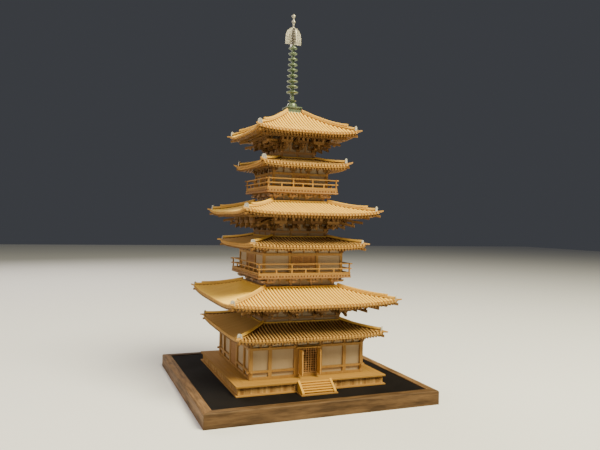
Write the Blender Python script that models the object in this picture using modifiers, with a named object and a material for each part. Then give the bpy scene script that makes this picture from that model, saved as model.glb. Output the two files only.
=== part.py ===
# A three-storey timber pagoda with pent roofs, as a 1:100 wooden display model on its stand.
# Sizes and places below are in millimetres of the model, and MM turns them into metres.
# The origin is the middle of the stand's underside. The front, with the steps, faces -Y.

import math

import bmesh
import bpy
from mathutils import Matrix, Vector

MM = 0.001
gap = 0.1  # play between neighbouring pieces
sunk = 0.6  # how far a joined timber reaches into the one that carries it
quarterTurns = 4
weldDistance = 0.002  # corners that a join leaves closer than this are one

# Stand
standHalf = 102.5
standHeight = 12.0
frameBand = 7.7
ledgeBand = 11.2
ledgeTop = 6.0
standChamfer = 0.8
panelTop = 11.3

# Podium
plinthHalf = 68.8
plinthTop = 12.3
podiumBodyHalf = 66.6
deckBottom = 18.6
deckTop = 20.2

# Front steps
stepHalfWidth = 15.5
cheekWidth = 2.0
stepFront = 80.4
stepCount = 5
stepNose = 1.4  # how far the lowest step stands back from the cheeks' front ends
cheekRise = 1.2
plinthApron = 1.0

# Ground storey
wallHalf = 52.0
postSide = 3.0
frameDepth = 1.6
boardDepth = 1.2
postPlaces = (11.8, 35.0)
sillHeight = 2.0
waistRail = (26.1, 27.8)
headBeam = (45.0, 47.2)
postTop = 47.6
armReach = 4.2
strutHalf = 0.7
purlinDepth = 2.0
railNose = 2.0
doorHalf = 9.2
doorSetback = 0.5
doorThickness = 1.1
leafThickness = 1.2
doorPlay = 0.4
latticeBar = 0.8
latticeUprights = 4
latticeRows = 6

# Storeys above the pent roofs, from the ground up.
# core is half the inner tower's width, eave half the roof's, and edge the height of the tile ends.
mainTiers = (
    dict(
        core=36.15, columns=(11.8, 34.7), floor=20.2, wallFrom=58.0, brackets=70.0,
        eave=75.5, edge=84.5, fascia=80.7, roofTop=34.7, roofTopHeight=95.6, lift=3.0,
        tierStep=9.0, purlin=54.5, tailEnd=56.0, tailBottom=71.3, hole=30.5,
        cornerTail=(63.6, 77.4), tip=(78.2, 89.0), cornerRafter=(76.3, 83.7),
        lowRidge=(74.3, 90.0), highRidge=(68.8, 92.3),
    ),
    dict(
        core=26.5, columns=(8.6, 25.0), floor=108.2, wallFrom=136.0, brackets=146.5,
        eave=62.7, edge=162.3, fascia=158.9, roofTop=26.6, roofTopHeight=172.6, lift=3.0,
        tierStep=8.2, purlin=45.0, tailEnd=46.5, tailBottom=148.2, hole=22.5,
        cornerTail=(51.6, 153.7), tip=(65.2, 166.7), cornerRafter=(63.5, 161.3),
        lowRidge=(60.3, 168.6), highRidge=(54.4, 170.8),
    ),
    dict(
        core=16.9, columns=(0.0, 15.4), floor=184.5, wallFrom=209.0, brackets=219.5,
        eave=47.0, edge=235.4, fascia=232.1, roofTop=7.2, roofTopHeight=257.8, lift=2.8,
        tierStep=7.5, purlin=31.0, tailEnd=32.2, tailBottom=221.6, hole=12.0,
        cornerTail=(35.3, 225.3), tip=(50.0, 239.4), cornerRafter=(47.3, 233.9),
        lowRidge=(45.5, 242.0), highRidge=(40.1, 245.6),
    ),
)
pentTiers = (
    dict(
        wall=52.0, against=36.15, eave=67.0, edge=56.3, fascia=52.0, roofTopHeight=64.6,
        lift=2.2, tip=(69.8, 58.8), cornerRafter=(67.7, 54.3), ridge=(65.4, 61.3),
    ),
    dict(
        wall=38.2, against=26.5, eave=54.0, edge=134.1, fascia=129.7, roofTopHeight=140.6,
        lift=2.0, tip=(56.6, 136.5), cornerRafter=(54.4, 130.9), ridge=(51.5, 138.0),
    ),
    dict(
        wall=27.0, against=16.9, eave=41.6, edge=206.6, fascia=202.5, roofTopHeight=213.2,
        lift=2.0, tip=(44.1, 210.7), cornerRafter=(42.1, 205.7), ridge=(39.2, 212.4),
    ),
)
columnHalf = 1.2
coreWall = 1.8
armThickness = 1.8
# Balconies and the walls that stand on them.
balconies = (
    dict(
        name="storey_2", foot=33.2, footHeight=95.9, floorHalf=44.1, floorTop=108.2,
        columns=(10.0, 31.0), railMiddle=43.2, railTop=118.0, railReach=46.0,
        footRail=1.3, waistTop=113.6,
        mainPosts=(13.0,), shortPosts=(0.0, 27.5), wallPosts=(13.0,), headBeam=(124.6, 126.8),
    ),
    dict(
        name="storey_3", foot=25.0, footHeight=173.0, floorHalf=34.1, floorTop=184.5,
        columns=(7.4, 23.0), railMiddle=33.0, railTop=194.1, railReach=35.5,
        footRail=1.9, waistTop=190.1,
        mainPosts=(9.4,), shortPosts=(0.0, 20.5), wallPosts=(7.4,), headBeam=(197.4, 199.4),
    ),
)
floorThickness = 1.3
balconyBeamSetback = 5.6
balconyBeamDepth = 2.9
slopeStations = 3  # where the roof's slope changes, eaves and top included
sweepCuts = 5
ridgePoints = 5
roofThickness = 3.0
lowCrest = 1.5
highCrest = 2.9
ribPitch = 9.12  # every third row of the roofs' cover tiles, which stands for its neighbours
ribHalf = 0.95
ribHeight = 0.8
ribOverhang = 0.3

upperRail = 1.8
railThickness = 1.0
railDepth = 1.1
railPostHalf = 0.6
railStep = 0.15  # rails of neighbouring sides cross at slightly different heights

# Spire
baseBox = (6.7, 4.0)
baseFlange = 0.9
ringFoot = 270.9
ringTop = 323.6
ringCount = 9
firstRing = 278.5
ringPitch = 5.24
ringRadii = (5.9, 4.1)
flameReach = 8.0
flameHeights = (323.9, 341.2)
spireTop = 353.7


def clearScene():
    for old in list(bpy.data.objects):
        bpy.data.objects.remove(old)


def newCollection(name, shown):
    made = bpy.data.collections.new(name)
    bpy.context.scene.collection.children.link(made)
    made.hide_render = not shown
    return made


def makeMaterial(name, colour, roughness, metallic=0.0):
    material = bpy.data.materials.new(name)
    material.use_nodes = True
    shader = material.node_tree.nodes["Principled BSDF"]
    shader.inputs["Base Color"].default_value = (*colour, 1.0)
    shader.inputs["Roughness"].default_value = roughness
    shader.inputs["Metallic"].default_value = metallic
    return material


# Shapes, each a bmesh in millimetres

def box(low, high):
    shape = bmesh.new()
    bmesh.ops.create_cube(shape, size=1.0)
    low, high = Vector(low), Vector(high)
    for vert in shape.verts:
        share = vert.co + Vector((0.5, 0.5, 0.5))
        vert.co = Vector(low[i] + share[i] * (high[i] - low[i]) for i in range(3))
    return shape


def meshOf(curveObject):
    graph = bpy.context.evaluated_depsgraph_get()
    mesh = bpy.data.meshes.new_from_object(curveObject.evaluated_get(graph))
    bpy.data.objects.remove(curveObject)
    shape = bmesh.new()
    shape.from_mesh(mesh)
    bpy.data.meshes.remove(mesh)
    bmesh.ops.remove_doubles(shape, verts=shape.verts, dist=0.0001)
    return shape


def sawnBoard(outlines, thickness):
    """A board cut to the first outline, with the others as holes, lying flat and centred on Z = 0."""
    curve = bpy.data.curves.new("outline", "CURVE")
    curve.dimensions = "2D"
    curve.fill_mode = "BOTH"
    curve.extrude = thickness / 2
    for outline in outlines:
        spline = curve.splines.new("POLY")
        spline.points.add(len(outline) - 1)
        for point, (across, up) in zip(spline.points, outline):
            point.co = (across, up, 0.0, 1.0)
        spline.use_cyclic_u = True
    holder = bpy.data.objects.new("outline", curve)
    helpers.objects.link(holder)
    bpy.context.view_layer.update()
    return meshOf(holder)


def wallBoard(outlines, front, thickness):
    """A board in the front wall's plane, its outer face at the given distance: outlines are (x, z)."""
    shape = sawnBoard(outlines, thickness)
    place = Matrix.Translation((0, -front + thickness / 2, 0))
    stand = Matrix.Rotation(math.radians(90), 4, "X")
    bmesh.ops.transform(shape, matrix=place @ stand, verts=shape.verts)
    return shape


def radialBoard(outline, place, thickness):
    """A board standing square to the front wall at x = place: its outline is (distance out, z)."""
    shape = sawnBoard([outline], thickness)
    stand = Matrix.Rotation(math.radians(90), 4, "X")
    turn = Matrix.Rotation(math.radians(-90), 4, "Z")
    along = Matrix.Translation((place, 0, 0))
    bmesh.ops.transform(shape, matrix=along @ turn @ stand, verts=shape.verts)
    return shape


def cornerBoard(outline, thickness):
    """A board standing on the front right corner's diagonal: its outline is (half-width, z)."""
    longer = math.sqrt(2)
    shape = radialBoard([(out * longer, z) for out, z in outline], 0.0, thickness)
    return turned(shape, 45.0)


def squareRing(profile):
    """A ring with four mitred sides: the profile's points are (half-width, z)."""
    shape = bmesh.new()
    verts = [shape.verts.new((half, -half, z)) for half, z in profile]
    edges = [shape.edges.new((verts[i - 1], verts[i])) for i in range(len(verts))]
    bmesh.ops.spin(
        shape, geom=verts + edges, cent=(0, 0, 0), axis=(0, 0, 1),
        angle=math.radians(360), steps=quarterTurns, use_merge=True,
    )
    bmesh.ops.recalc_face_normals(shape, faces=shape.faces)
    return shape


def turned(shape, degrees):
    turn = Matrix.Rotation(math.radians(degrees), 3, "Z")
    bmesh.ops.rotate(shape, cent=(0, 0, 0), matrix=turn, verts=shape.verts)
    return shape


def bandRing(inner, outer, low, high):
    """A square ring of plain rectangular section."""
    return squareRing([(inner, low), (outer, low), (outer, high), (inner, high)])


def squareBlock(half, low, high):
    return box((-half, -half, low), (half, half, high))


# Pieces

def placePiece(name, shape, material, origin=(0.0, 0.0, 0.0)):
    """Makes the shape an object of the pagoda, in metres, with its own origin."""
    bmesh.ops.translate(shape, verts=shape.verts, vec=-Vector(origin))
    bmesh.ops.scale(shape, verts=shape.verts, vec=(MM, MM, MM))
    mesh = bpy.data.meshes.new(name)
    shape.to_mesh(mesh)
    shape.free()
    mesh.materials.append(material)
    piece = bpy.data.objects.new(name, mesh)
    piece.location = Vector(origin) * MM
    parts.objects.link(piece)
    piece.parent = pagoda
    return piece


def fused(shapes):
    """Joins overlapping timbers into one closed shape with a Boolean union."""
    timbers = []
    for number, shape in enumerate(shapes):
        mesh = bpy.data.meshes.new("timber")
        shape.to_mesh(mesh)
        shape.free()
        timber = bpy.data.objects.new(f"timber_{number}", mesh)
        (joining if number else helpers).objects.link(timber)
        timbers.append(timber)
    union = timbers[0].modifiers.new("Join", "BOOLEAN")
    union.operation = "UNION"
    union.operand_type = "COLLECTION"
    union.collection = joining
    union.solver = "EXACT"
    bpy.context.view_layer.update()
    graph = bpy.context.evaluated_depsgraph_get()
    mesh = bpy.data.meshes.new_from_object(timbers[0].evaluated_get(graph))
    for timber in timbers:
        bpy.data.objects.remove(timber)
    joined = bmesh.new()
    joined.from_mesh(mesh)
    bpy.data.meshes.remove(mesh)
    bmesh.ops.remove_doubles(joined, verts=joined.verts, dist=weldDistance)
    bmesh.ops.dissolve_degenerate(joined, edges=joined.edges, dist=weldDistance)
    bmesh.ops.dissolve_limit(joined, angle_limit=math.radians(0.5), verts=joined.verts, edges=joined.edges)
    bmesh.ops.triangulate(joined, faces=joined.faces)
    return joined


def turnedPiece(name, profile, steps, material):
    """A piece turned on the spire's axis: the profile runs top to bottom as (radius, z)."""
    mesh = bpy.data.meshes.new(name)
    shape = bmesh.new()
    verts = [shape.verts.new((radius * MM, 0.0, z * MM)) for radius, z in profile]
    for upper, lower in zip(verts, verts[1:]):
        shape.edges.new((upper, lower))
    shape.to_mesh(mesh)
    shape.free()
    mesh.materials.append(material)
    piece = bpy.data.objects.new(name, mesh)
    parts.objects.link(piece)
    piece.parent = pagoda
    screw = piece.modifiers.new("Turn", "SCREW")
    screw.steps = steps
    screw.render_steps = steps
    screw.use_merge_vertices = True
    screw.merge_threshold = 0.00001
    screw.use_smooth_shade = True
    return piece


# Stand

def standMember():
    """The front member: its profile extruded, then both ends drawn in to the mitre."""
    outer, inner = standHalf, standHalf - frameBand
    profile = [
        (outer, 0.0), (outer, standHeight - standChamfer), (outer - standChamfer, standHeight),
        (inner, standHeight), (inner, ledgeTop),
        (standHalf - ledgeBand, ledgeTop), (standHalf - ledgeBand, 0.0),
    ]
    shape = radialBoard(profile, 0.0, 2.0)
    for vert in shape.verts:
        vert.co.x = math.copysign(-vert.co.y - gap, vert.co.x)
    return shape


def makeStand():
    for side, name in enumerate(("front", "right", "back", "left")):
        placePiece(f"stand_frame_{name}", turned(standMember(), 90.0 * side), standWood)
    panel = squareBlock(standHalf - frameBand - gap, ledgeTop + gap, panelTop)
    placePiece("stand_panel", panel, panelBlack)


# Podium and steps

def makePodium():
    plinthBottom = panelTop + gap
    apronHalf = stepHalfWidth + plinthApron
    apron = box(
        (-apronHalf, -stepFront - plinthApron, plinthBottom),
        (apronHalf, -plinthHalf + sunk, plinthTop),
    )
    plinth = [squareBlock(plinthHalf, plinthBottom, plinthTop), apron]
    placePiece("podium_plinth", fused(plinth), cypress)
    body = squareBlock(podiumBodyHalf, plinthTop + gap, deckBottom)
    placePiece("podium_body", body, darkCypress)
    deck = squareBlock(plinthHalf, deckBottom + gap, deckTop)
    placePiece("podium_deck", deck, cypress)


def makeSteps():
    bottom = plinthTop + gap
    back = plinthHalf + gap
    rise = (deckTop - bottom) / stepCount
    going = (stepFront - stepNose - back) / stepCount
    inner = stepHalfWidth - cheekWidth + sunk
    profile = [(back, bottom)]
    for step in range(stepCount):
        out = back + going * (stepCount - step)
        profile.append((out, bottom + rise * step))
        profile.append((out, bottom + rise * (step + 1)))
    profile.append((back, deckTop))
    shapes = [radialBoard(profile, 0.0, 2 * inner)]
    cheek = [
        (back, bottom), (stepFront, bottom), (stepFront, bottom + cheekRise),
        (back + 0.6, deckTop + cheekRise), (back, deckTop + cheekRise),
    ]
    for side in (-1, 1):
        shapes.append(radialBoard(cheek, side * (stepHalfWidth - cheekWidth / 2), cheekWidth))
    placePiece("front_steps", fused(shapes), cypress)


# Ground storey

def boardOutline(left, right, low, high):
    return [(left, low), (right, low), (right, high), (left, high)]


def bayHoles(left, right, levels, arms):
    """The openings of one bay between two posts' middles: below the head beam, and beside the arms."""
    half = postSide / 2
    holes = [boardOutline(left + half, right - half, low, high) for low, high in levels]
    head, armBottom, purlinBottom = arms
    strut = (left + right) / 2
    for post, toward in ((left, 1), (right, -1)):
        armEnd = post + toward * armReach
        strutSide = strut - toward * strutHalf
        hole = [
            (post + toward * half, head), (strutSide, head), (strutSide, purlinBottom),
            (armEnd, purlinBottom), (armEnd, armBottom + 1.0), (post + toward * half, armBottom),
        ]
        holes.append(hole)
    return holes


def wallFrame(withCorners):
    """One side of the ground storey, made as the front: posts, rails and bracket arms up to the purlin."""
    outer = wallHalf + postSide / 2
    purlinTop = pentSoffit(pentTiers[0], outer) - gap
    purlinBottom = purlinTop - purlinDepth
    foot = deckTop + gap
    sillTop = foot + sillHeight
    inner = wallHalf - postSide / 2
    end = wallHalf if withCorners else inner - gap
    outlines = [boardOutline(-end, end, foot, purlinTop)]
    arms = (headBeam[1], postTop + 1.6, purlinBottom)
    lower = [(sillTop, waistRail[0]), (waistRail[1], headBeam[0])]
    lastPost = wallHalf if withCorners else wallHalf - 1.3
    places = (*postPlaces, lastPost)
    for near, far in zip(places, places[1:]):
        outlines += bayHoles(near, far, lower, arms)
        outlines += bayHoles(-far, -near, lower, arms)
    door = bayHoles(-postPlaces[0], postPlaces[0], [], arms)
    outlines += door + [boardOutline(-doorHalf, doorHalf, sillTop, headBeam[0])]
    shapes = [wallBoard(outlines, outer, frameDepth)]
    if withCorners:
        for sign in (-1, 1):
            shapes += cornerPost(sign, foot, purlinTop)
    return shapes


def cornerPost(sign, foot, purlinTop):
    """A square corner post, with the noses of both waist rails running past it."""
    outer = wallHalf + postSide / 2
    inner = wallHalf - postSide / 2
    across = sorted((sign * inner, sign * outer))
    shapes = [box((across[0], -outer - 0.2, foot), (across[1], -inner, purlinTop - 0.3))]
    low, high = waistRail
    side = sorted((sign * (inner + 0.4), sign * (outer + railNose)))
    ahead = sorted((sign * (inner + 0.5), sign * (outer - 0.5)))
    shapes.append(box((side[0], -outer + 0.4, low), (side[1], -inner - 0.5, high)))
    shapes.append(box((ahead[0], -outer - railNose, low + 0.1), (ahead[1], -inner - 0.6, high - 0.1)))
    return shapes


def makeGroundStorey():
    outer = wallHalf + postSide / 2
    boardFace = outer - frameDepth - gap
    foot = deckTop + gap
    reach = wallHalf - postSide / 2 - gap
    boardTop = pentSoffit(pentTiers[0], boardFace) - gap
    doorEdge = postPlaces[0] - 1.3
    lintel = headBeam[0] + 0.8
    for side, name in enumerate(("front", "right", "back", "left")):
        turn = 90.0 * side
        frame = fused(wallFrame(side % 2 == 0))
        placePiece(f"ground_frame_{name}", turned(frame, turn), cypress)
        if name == "front":
            continue
        outline = [
            (-reach, foot), (-doorEdge, foot), (-doorEdge, lintel), (doorEdge, lintel),
            (doorEdge, foot), (reach, foot), (reach, boardTop), (-reach, boardTop),
        ]
        boards = turned(wallBoard([outline], boardFace, boardDepth), turn)
        placePiece(f"wall_boards_{name}", boards, whiteBoard)
        doorFoot = foot + sillHeight + gap
        door = [boardOutline(-doorHalf + gap, doorHalf - gap, doorFoot, headBeam[0] - gap)]
        doors = turned(wallBoard(door, outer - doorSetback, doorThickness), turn)
        placePiece(f"closed_doors_{name}", doors, darkCypress)
    left = [boardOutline(-reach, -doorEdge, foot, boardTop)]
    right = [boardOutline(doorEdge, reach, foot, boardTop)]
    over = [boardOutline(-doorEdge + gap, doorEdge - gap, lintel, boardTop)]
    placePiece("wall_boards_front_left", wallBoard(left, boardFace, boardDepth), whiteBoard)
    placePiece("wall_boards_front_right", wallBoard(right, boardFace, boardDepth), whiteBoard)
    placePiece("wall_board_over_door", wallBoard(over, boardFace, boardDepth), whiteBoard)


def makeDoorway():
    """The lattice screen, and in front of it the two leaves, which stand open square to the wall."""
    outer = wallHalf + postSide / 2
    bottom = deckTop + sillHeight + 3 * gap
    top = headBeam[0] - gap
    screenHalf = postPlaces[0] - 1.5 - gap
    front = outer - frameDepth - 3 * gap
    width = 2 * screenHalf / (latticeUprights + 1)
    height = (top - bottom) / (latticeRows + 1)
    cells = [boardOutline(-screenHalf, screenHalf, bottom, top)]
    half = latticeBar / 2
    for column in range(latticeUprights + 1):
        for row in range(latticeRows + 1):
            left = -screenHalf + width * column
            low = bottom + height * row
            right = left + width - half
            cells.append(boardOutline(left + half, right, low + half, low + height - half))
    placePiece("doorway_lattice", wallBoard(cells, front, latticeBar), darkCypress)

    hingeAcross = doorHalf - 0.3
    hingeOut = outer - 0.1
    leafWidth = hingeAcross - doorPlay
    for sign, name in ((-1, "left"), (1, "right")):
        across = sorted((sign * (hingeAcross - 0.1), sign * (hingeAcross - 0.1 - leafThickness)))
        leaf = box(
            (across[0], -hingeOut - leafWidth, bottom + doorPlay),
            (across[1], -hingeOut - 0.1, top - doorPlay),
        )
        hinge = (sign * hingeAcross, -hingeOut, 0.0)
        placePiece(f"front_door_{name}_leaf", leaf, darkCypress, origin=hinge)


# Roofs

def topHalf(roof):
    """Half the width of the square where the tiles end at the top."""
    return roof["roofTop"] if "roofTop" in roof else roof["against"] + 0.3


def slopeHalves(roof):
    """The half-widths at which the slope changes, from the eaves to the top."""
    return spread(roof["eave"], topHalf(roof), slopeStations)


def upSlope(roof, half):
    """How far up the slope this half-width lies: 0 at the eaves and 1 at the top."""
    share = (roof["eave"] - half) / (roof["eave"] - topHalf(roof))
    return min(max(share, 0.0), 1.0)


def roofHeight(roof, half, lateral):
    """The tiled surface's height at this half-width, and at this distance from the side's middle."""
    share = upSlope(roof, half)
    rise = (roof["roofTopHeight"] - roof["edge"]) * share * (0.74 + 0.26 * share)
    return roof["edge"] + rise + cornerLift(roof, half, lateral)


def cornerLift(roof, half, lateral):
    """How far the eaves' sweep raises the roof towards its corners."""
    return roof["lift"] * min(abs(lateral) / half, 1.0) ** 4 * (1 - upSlope(roof, half)) ** 2


def pentSoffit(roof, half):
    """The underside of a pent roof's rafters, at the middle of a side."""
    return roof["fascia"] + max(roof["eave"] - 1.0 - half, 0.0) * 0.26


def mainSoffit(roof, half):
    """The underside of a main roof's lower rafters, at the middle of a side."""
    return roof["fascia"] - 0.8 + (roof["eave"] - roof["tierStep"] - half) * 0.3


def sweptRoof(roof, profile):
    """The profile taken round four sides, with the eaves swept up towards the corners."""
    shape = squareRing(profile)
    along = [
        edge for edge in shape.edges
        if abs(abs(edge.verts[0].co.x) - abs(edge.verts[1].co.x)) < 0.001
        and abs(edge.verts[0].co.z - edge.verts[1].co.z) < 0.001
        and edge.calc_length() > 1.0
    ]
    bmesh.ops.subdivide_edges(shape, edges=along, cuts=sweepCuts, use_grid_fill=True)
    for vert in shape.verts:
        half = max(abs(vert.co.x), abs(vert.co.y))
        index = 0 if abs(vert.co.x) < abs(vert.co.y) else 1
        nearCorner = abs(vert.co[index]) / half
        lateral = half * (1 - (1 - nearCorner) ** 1.6)  # closer together where the sweep is steep
        vert.co[index] = math.copysign(lateral, vert.co[index])
        vert.co.z += cornerLift(roof, half, lateral)
    return shape


def tileRib(roof, place):
    """A row of cover tiles down one side, as a ridge of triangular section from the eaves to the hip or top."""
    outer = roof["eave"] + ribOverhang
    inner = max(topHalf(roof) + 1.5, abs(place) + 0.5)
    rib = box((place - ribHalf, -outer, 0.0), (place + ribHalf, -inner, 1.0))
    for station in slopeHalves(roof)[1:-1]:
        if station > inner + 1.0:
            geometry = rib.verts[:] + rib.edges[:] + rib.faces[:]
            bmesh.ops.bisect_plane(rib, geom=geometry, plane_co=(0, -station, 0), plane_no=(0, 1, 0))
    for vert in rib.verts:
        onCrest = vert.co.z > 0.5
        if onCrest:
            vert.co.x = place
        surface = roofHeight(roof, min(-vert.co.y, roof["eave"]), place)
        vert.co.z = surface + (ribHeight if onCrest else -sunk)
    bmesh.ops.remove_doubles(rib, verts=rib.verts, dist=0.0001)
    return rib


def tileRibs(roof):
    """The rows of cover tiles of all four sides."""
    reach = int((roof["eave"] - 4.0) / ribPitch)
    ribs = []
    for turn in range(quarterTurns):
        for number in range(-reach, reach + 1):
            ribs.append(turned(tileRib(roof, number * ribPitch), 90.0 * turn))
    return ribs


def ridgeBoard(roof, start, end, endHeight, crest, thickness):
    """A hip ridge: sunk into the tiles, with a crest above them, rising to its end."""
    places = spread(start, end, ridgePoints)
    under = [(half, roofHeight(roof, half, half) - 1.0) for half in places]
    over = [(half, roofHeight(roof, half, half) + crest) for half in places]
    over[-1] = (end, max(endHeight, over[-1][1]))
    return cornerBoard(under + over[::-1], thickness)


def cornerTimbers(roof, inner):
    """The corner rafter and the tile over it, which reach past the eaves."""
    rafterEnd, rafterHeight = roof["cornerRafter"]
    tipEnd, tipHeight = roof["tip"]
    back = roof["eave"] - inner
    rafter = [
        (back, rafterHeight + 0.4), (rafterEnd, rafterHeight - 1.2),
        (rafterEnd, rafterHeight + 1.0), (back, rafterHeight + 3.0),
    ]
    edge = roofHeight(roof, roof["eave"], roof["eave"])
    tile = [(back, edge - 1.4), (tipEnd, tipHeight - 1.5), (tipEnd, tipHeight), (back, edge + 1.2)]
    return [(rafter, 2.2), (tile, 1.7)]


def makePentRoof(number, roof):
    inner = roof["against"] + 2 * gap
    top = topHalf(roof)
    eave = roof["eave"]
    heights = [(half, roofHeight(roof, half, 0.0)) for half in spread(eave, top + 1.2, 4)]
    topHeight = roof["roofTopHeight"]
    profile = heights + [(top + 1.2, topHeight + 0.9), (inner, topHeight + 0.9)]
    profile += [
        (inner, pentSoffit(roof, inner)), (roof["wall"], pentSoffit(roof, roof["wall"])),
        (eave - 1.0, roof["fascia"]), (eave - 1.0, roof["edge"] - 2.6), (eave, roof["edge"] - 2.5),
    ]
    shapes = [sweptRoof(roof, profile)]
    ridgeEnd, ridgeHeight = roof["ridge"]
    for side in range(quarterTurns):
        ridge = ridgeBoard(roof, top + sunk, ridgeEnd, ridgeHeight, lowCrest, 2.6)
        shapes.append(turned(ridge, 90.0 * side))
        for outline, thickness in cornerTimbers(roof, 6.0):
            shapes.append(turned(cornerBoard(outline, thickness), 90.0 * side))
    placePiece(f"pent_roof_{number}", fused(shapes), cypress)


def spread(first, last, count):
    return [first + (last - first) * step / (count - 1) for step in range(count)]


def makeMainRoof(number, roof):
    eave = roof["eave"]
    step = eave - roof["tierStep"]
    top = roof["roofTop"]
    profile = [(half, roofHeight(roof, half, 0.0)) for half in slopeHalves(roof)]
    inner = roof["hole"]
    crown = roof["roofTopHeight"]
    under = [
        (inner, mainSoffit(roof, inner)), (roof["purlin"], mainSoffit(roof, roof["purlin"])),
        (step, mainSoffit(roof, step)), (step, roof["fascia"] + 1.1), (eave - 1.0, roof["fascia"]),
        (eave - 1.0, roof["edge"] - 2.4), (eave, roof["edge"] - 2.3),
    ]
    shapes = []
    if number == len(mainTiers):
        capHalf = top - 2.6
        profile += [(capHalf - sunk, crown), (capHalf - sunk, crown - roofThickness)]
        profile += [(inner, roofHeight(roof, inner, 0.0) - roofThickness)]
        shapes.append(squareBlock(capHalf, crown - roofThickness + 0.4, crown - 0.02))
    else:
        profile.append((inner, crown + gap))
    shapes.insert(0, sweptRoof(roof, profile + under))
    lowEnd, lowHeight = roof["lowRidge"]
    highEnd, highHeight = roof["highRidge"]
    for side in range(quarterTurns):
        low = ridgeBoard(roof, top + 0.8, lowEnd, lowHeight, lowCrest, 3.0)
        high = ridgeBoard(roof, top + 0.4, highEnd, highHeight, highCrest, 2.3)
        timbers = [low, high]
        timbers += [cornerBoard(outline, thickness) for outline, thickness in cornerTimbers(roof, 7.0)]
        shapes += [turned(timber, 90.0 * side) for timber in timbers]
    shapes += tileRibs(roof)
    placePiece(f"main_roof_{number}", fused(shapes), cypress)


# The inner tower: columns with a wall band, and the bracket sets round its head

def makeCore(number, roof):
    core = roof["core"]
    foot = roof["floor"] + gap
    wallFoot = roof["wallFrom"]
    head = mainSoffit(roof, core) - gap
    shapes = [bandRing(core - coreWall, core, wallFoot, head)]
    front, back = -core + 0.15, -core + 0.15 + 2 * columnHalf
    for turn in range(quarterTurns):
        for place in roof["columns"]:
            for sign in ((-1, 1) if 0.0 < place < roof["columns"][-1] else (1,)):
                left, right = sign * place - columnHalf, sign * place + columnHalf
                column = box((left, front, foot), (right, back, wallFoot + sunk))
                shapes.append(turned(column, 90.0 * turn))
    placePiece(f"tower_wall_{number}", fused(shapes), darkCypress)


def tailBottomAt(roof, half):
    return roof["tailBottom"] + (roof["tailEnd"] - half) * 0.34


def makeBrackets(number, roof):
    """Three-step bracket sets: stepped arms and a slanting tail, with the outer purlin running round."""
    core = roof["core"]
    low = roof["brackets"]
    sheath = core + 1.5
    purlin = roof["purlin"]
    purlinTop = mainSoffit(roof, purlin + 1.0) - gap
    head = mainSoffit(roof, sheath) - gap
    inner = core + gap
    shapes = [bandRing(inner, sheath, low, head)]
    shapes.append(bandRing(purlin - 1.0, purlin + 1.0, purlinTop - purlinDepth, purlinTop))
    reach = purlin - core
    armOne = core + reach * 0.34 + 0.6
    armTwo = core + reach * 0.58
    tail = roof["tailEnd"]
    stack = tailBottomAt(roof, purlin) + 2.6
    arm = [
        (inner + 0.5, low + 0.05), (core + 2.8, low + 0.05), (armOne, low + 1.5), (armOne, low + 3.2),
        (armTwo, low + 3.6), (armTwo, tailBottomAt(roof, armTwo)), (tail, tailBottomAt(roof, tail)),
        (tail, tailBottomAt(roof, tail) + 2.4), (purlin + 0.8, stack), (purlin + 0.8, purlinTop - 1.0),
        (purlin - 0.8, purlinTop - 1.0), (purlin - 0.8, stack + 0.4),
        (inner + 0.5, tailBottomAt(roof, inner + 0.5) + 2.4),
    ]
    for turn in range(quarterTurns):
        for place in roof["columns"]:
            for sign in ((-1, 1) if place else (1,)):
                shapes.append(turned(radialBoard(arm, sign * place, armThickness), 90.0 * turn))
        end, bottom = roof["cornerTail"]
        cornerEnd = roof["tailEnd"]
        lowTail = [
            (core + 0.6, low + 0.1), (core + 5.0, low + 1.8), (cornerEnd, roof["tailBottom"] + 2.4),
            (cornerEnd, roof["tailBottom"] + 4.6), (core + 0.6, low + 12.0),
        ]
        highTail = [
            (core + 0.9, low + 10.0), (end, bottom), (end, bottom + 2.2), (core + 0.9, head - 1.4),
        ]
        shapes.append(turned(cornerBoard(lowTail, 2.0), 90.0 * turn))
        shapes.append(turned(cornerBoard(highTail, 1.7), 90.0 * turn))
    placePiece(f"bracket_sets_{number}", fused(shapes), amberCypress)


# Balconies and upper walls

def makeBalcony(balcony):
    name = balcony["name"]
    foot = balcony["foot"]
    low = balcony["footHeight"]
    floorTop = balcony["floorTop"]
    floorBottom = floorTop - floorThickness
    half = balcony["floorHalf"]
    head = floorBottom - gap
    edge = half - balconyBeamSetback
    shapes = [bandRing(foot - 2.2, foot, low, head)]
    shapes.append(bandRing(edge - 0.9, edge + 0.9, head - balconyBeamDepth, head))
    arm = [
        (foot - 0.5, low + 1.2), (foot + 1.6, low + 1.2), (edge, head - 3.7), (edge, head - 0.6),
        (foot - 0.5, head - 0.6),
    ]
    cornerArm = [(foot - 0.6, low + 3.2), (foot + 1.4, low + 3.2)]
    cornerArm += [(out - 0.2, z - 0.1) for out, z in arm[2:]]
    for turn in range(quarterTurns):
        for place in balcony["columns"]:
            for sign in (-1, 1):
                shapes.append(turned(radialBoard(arm, sign * place, armThickness), 90.0 * turn))
        shapes.append(turned(cornerBoard(cornerArm, armThickness + gap), 90.0 * turn))
    placePiece(f"{name}_balcony_brackets", fused(shapes), amberCypress)
    placePiece(f"{name}_floor", squareBlock(half, floorBottom, floorTop), cypress)
    makeRailing(balcony)


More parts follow.
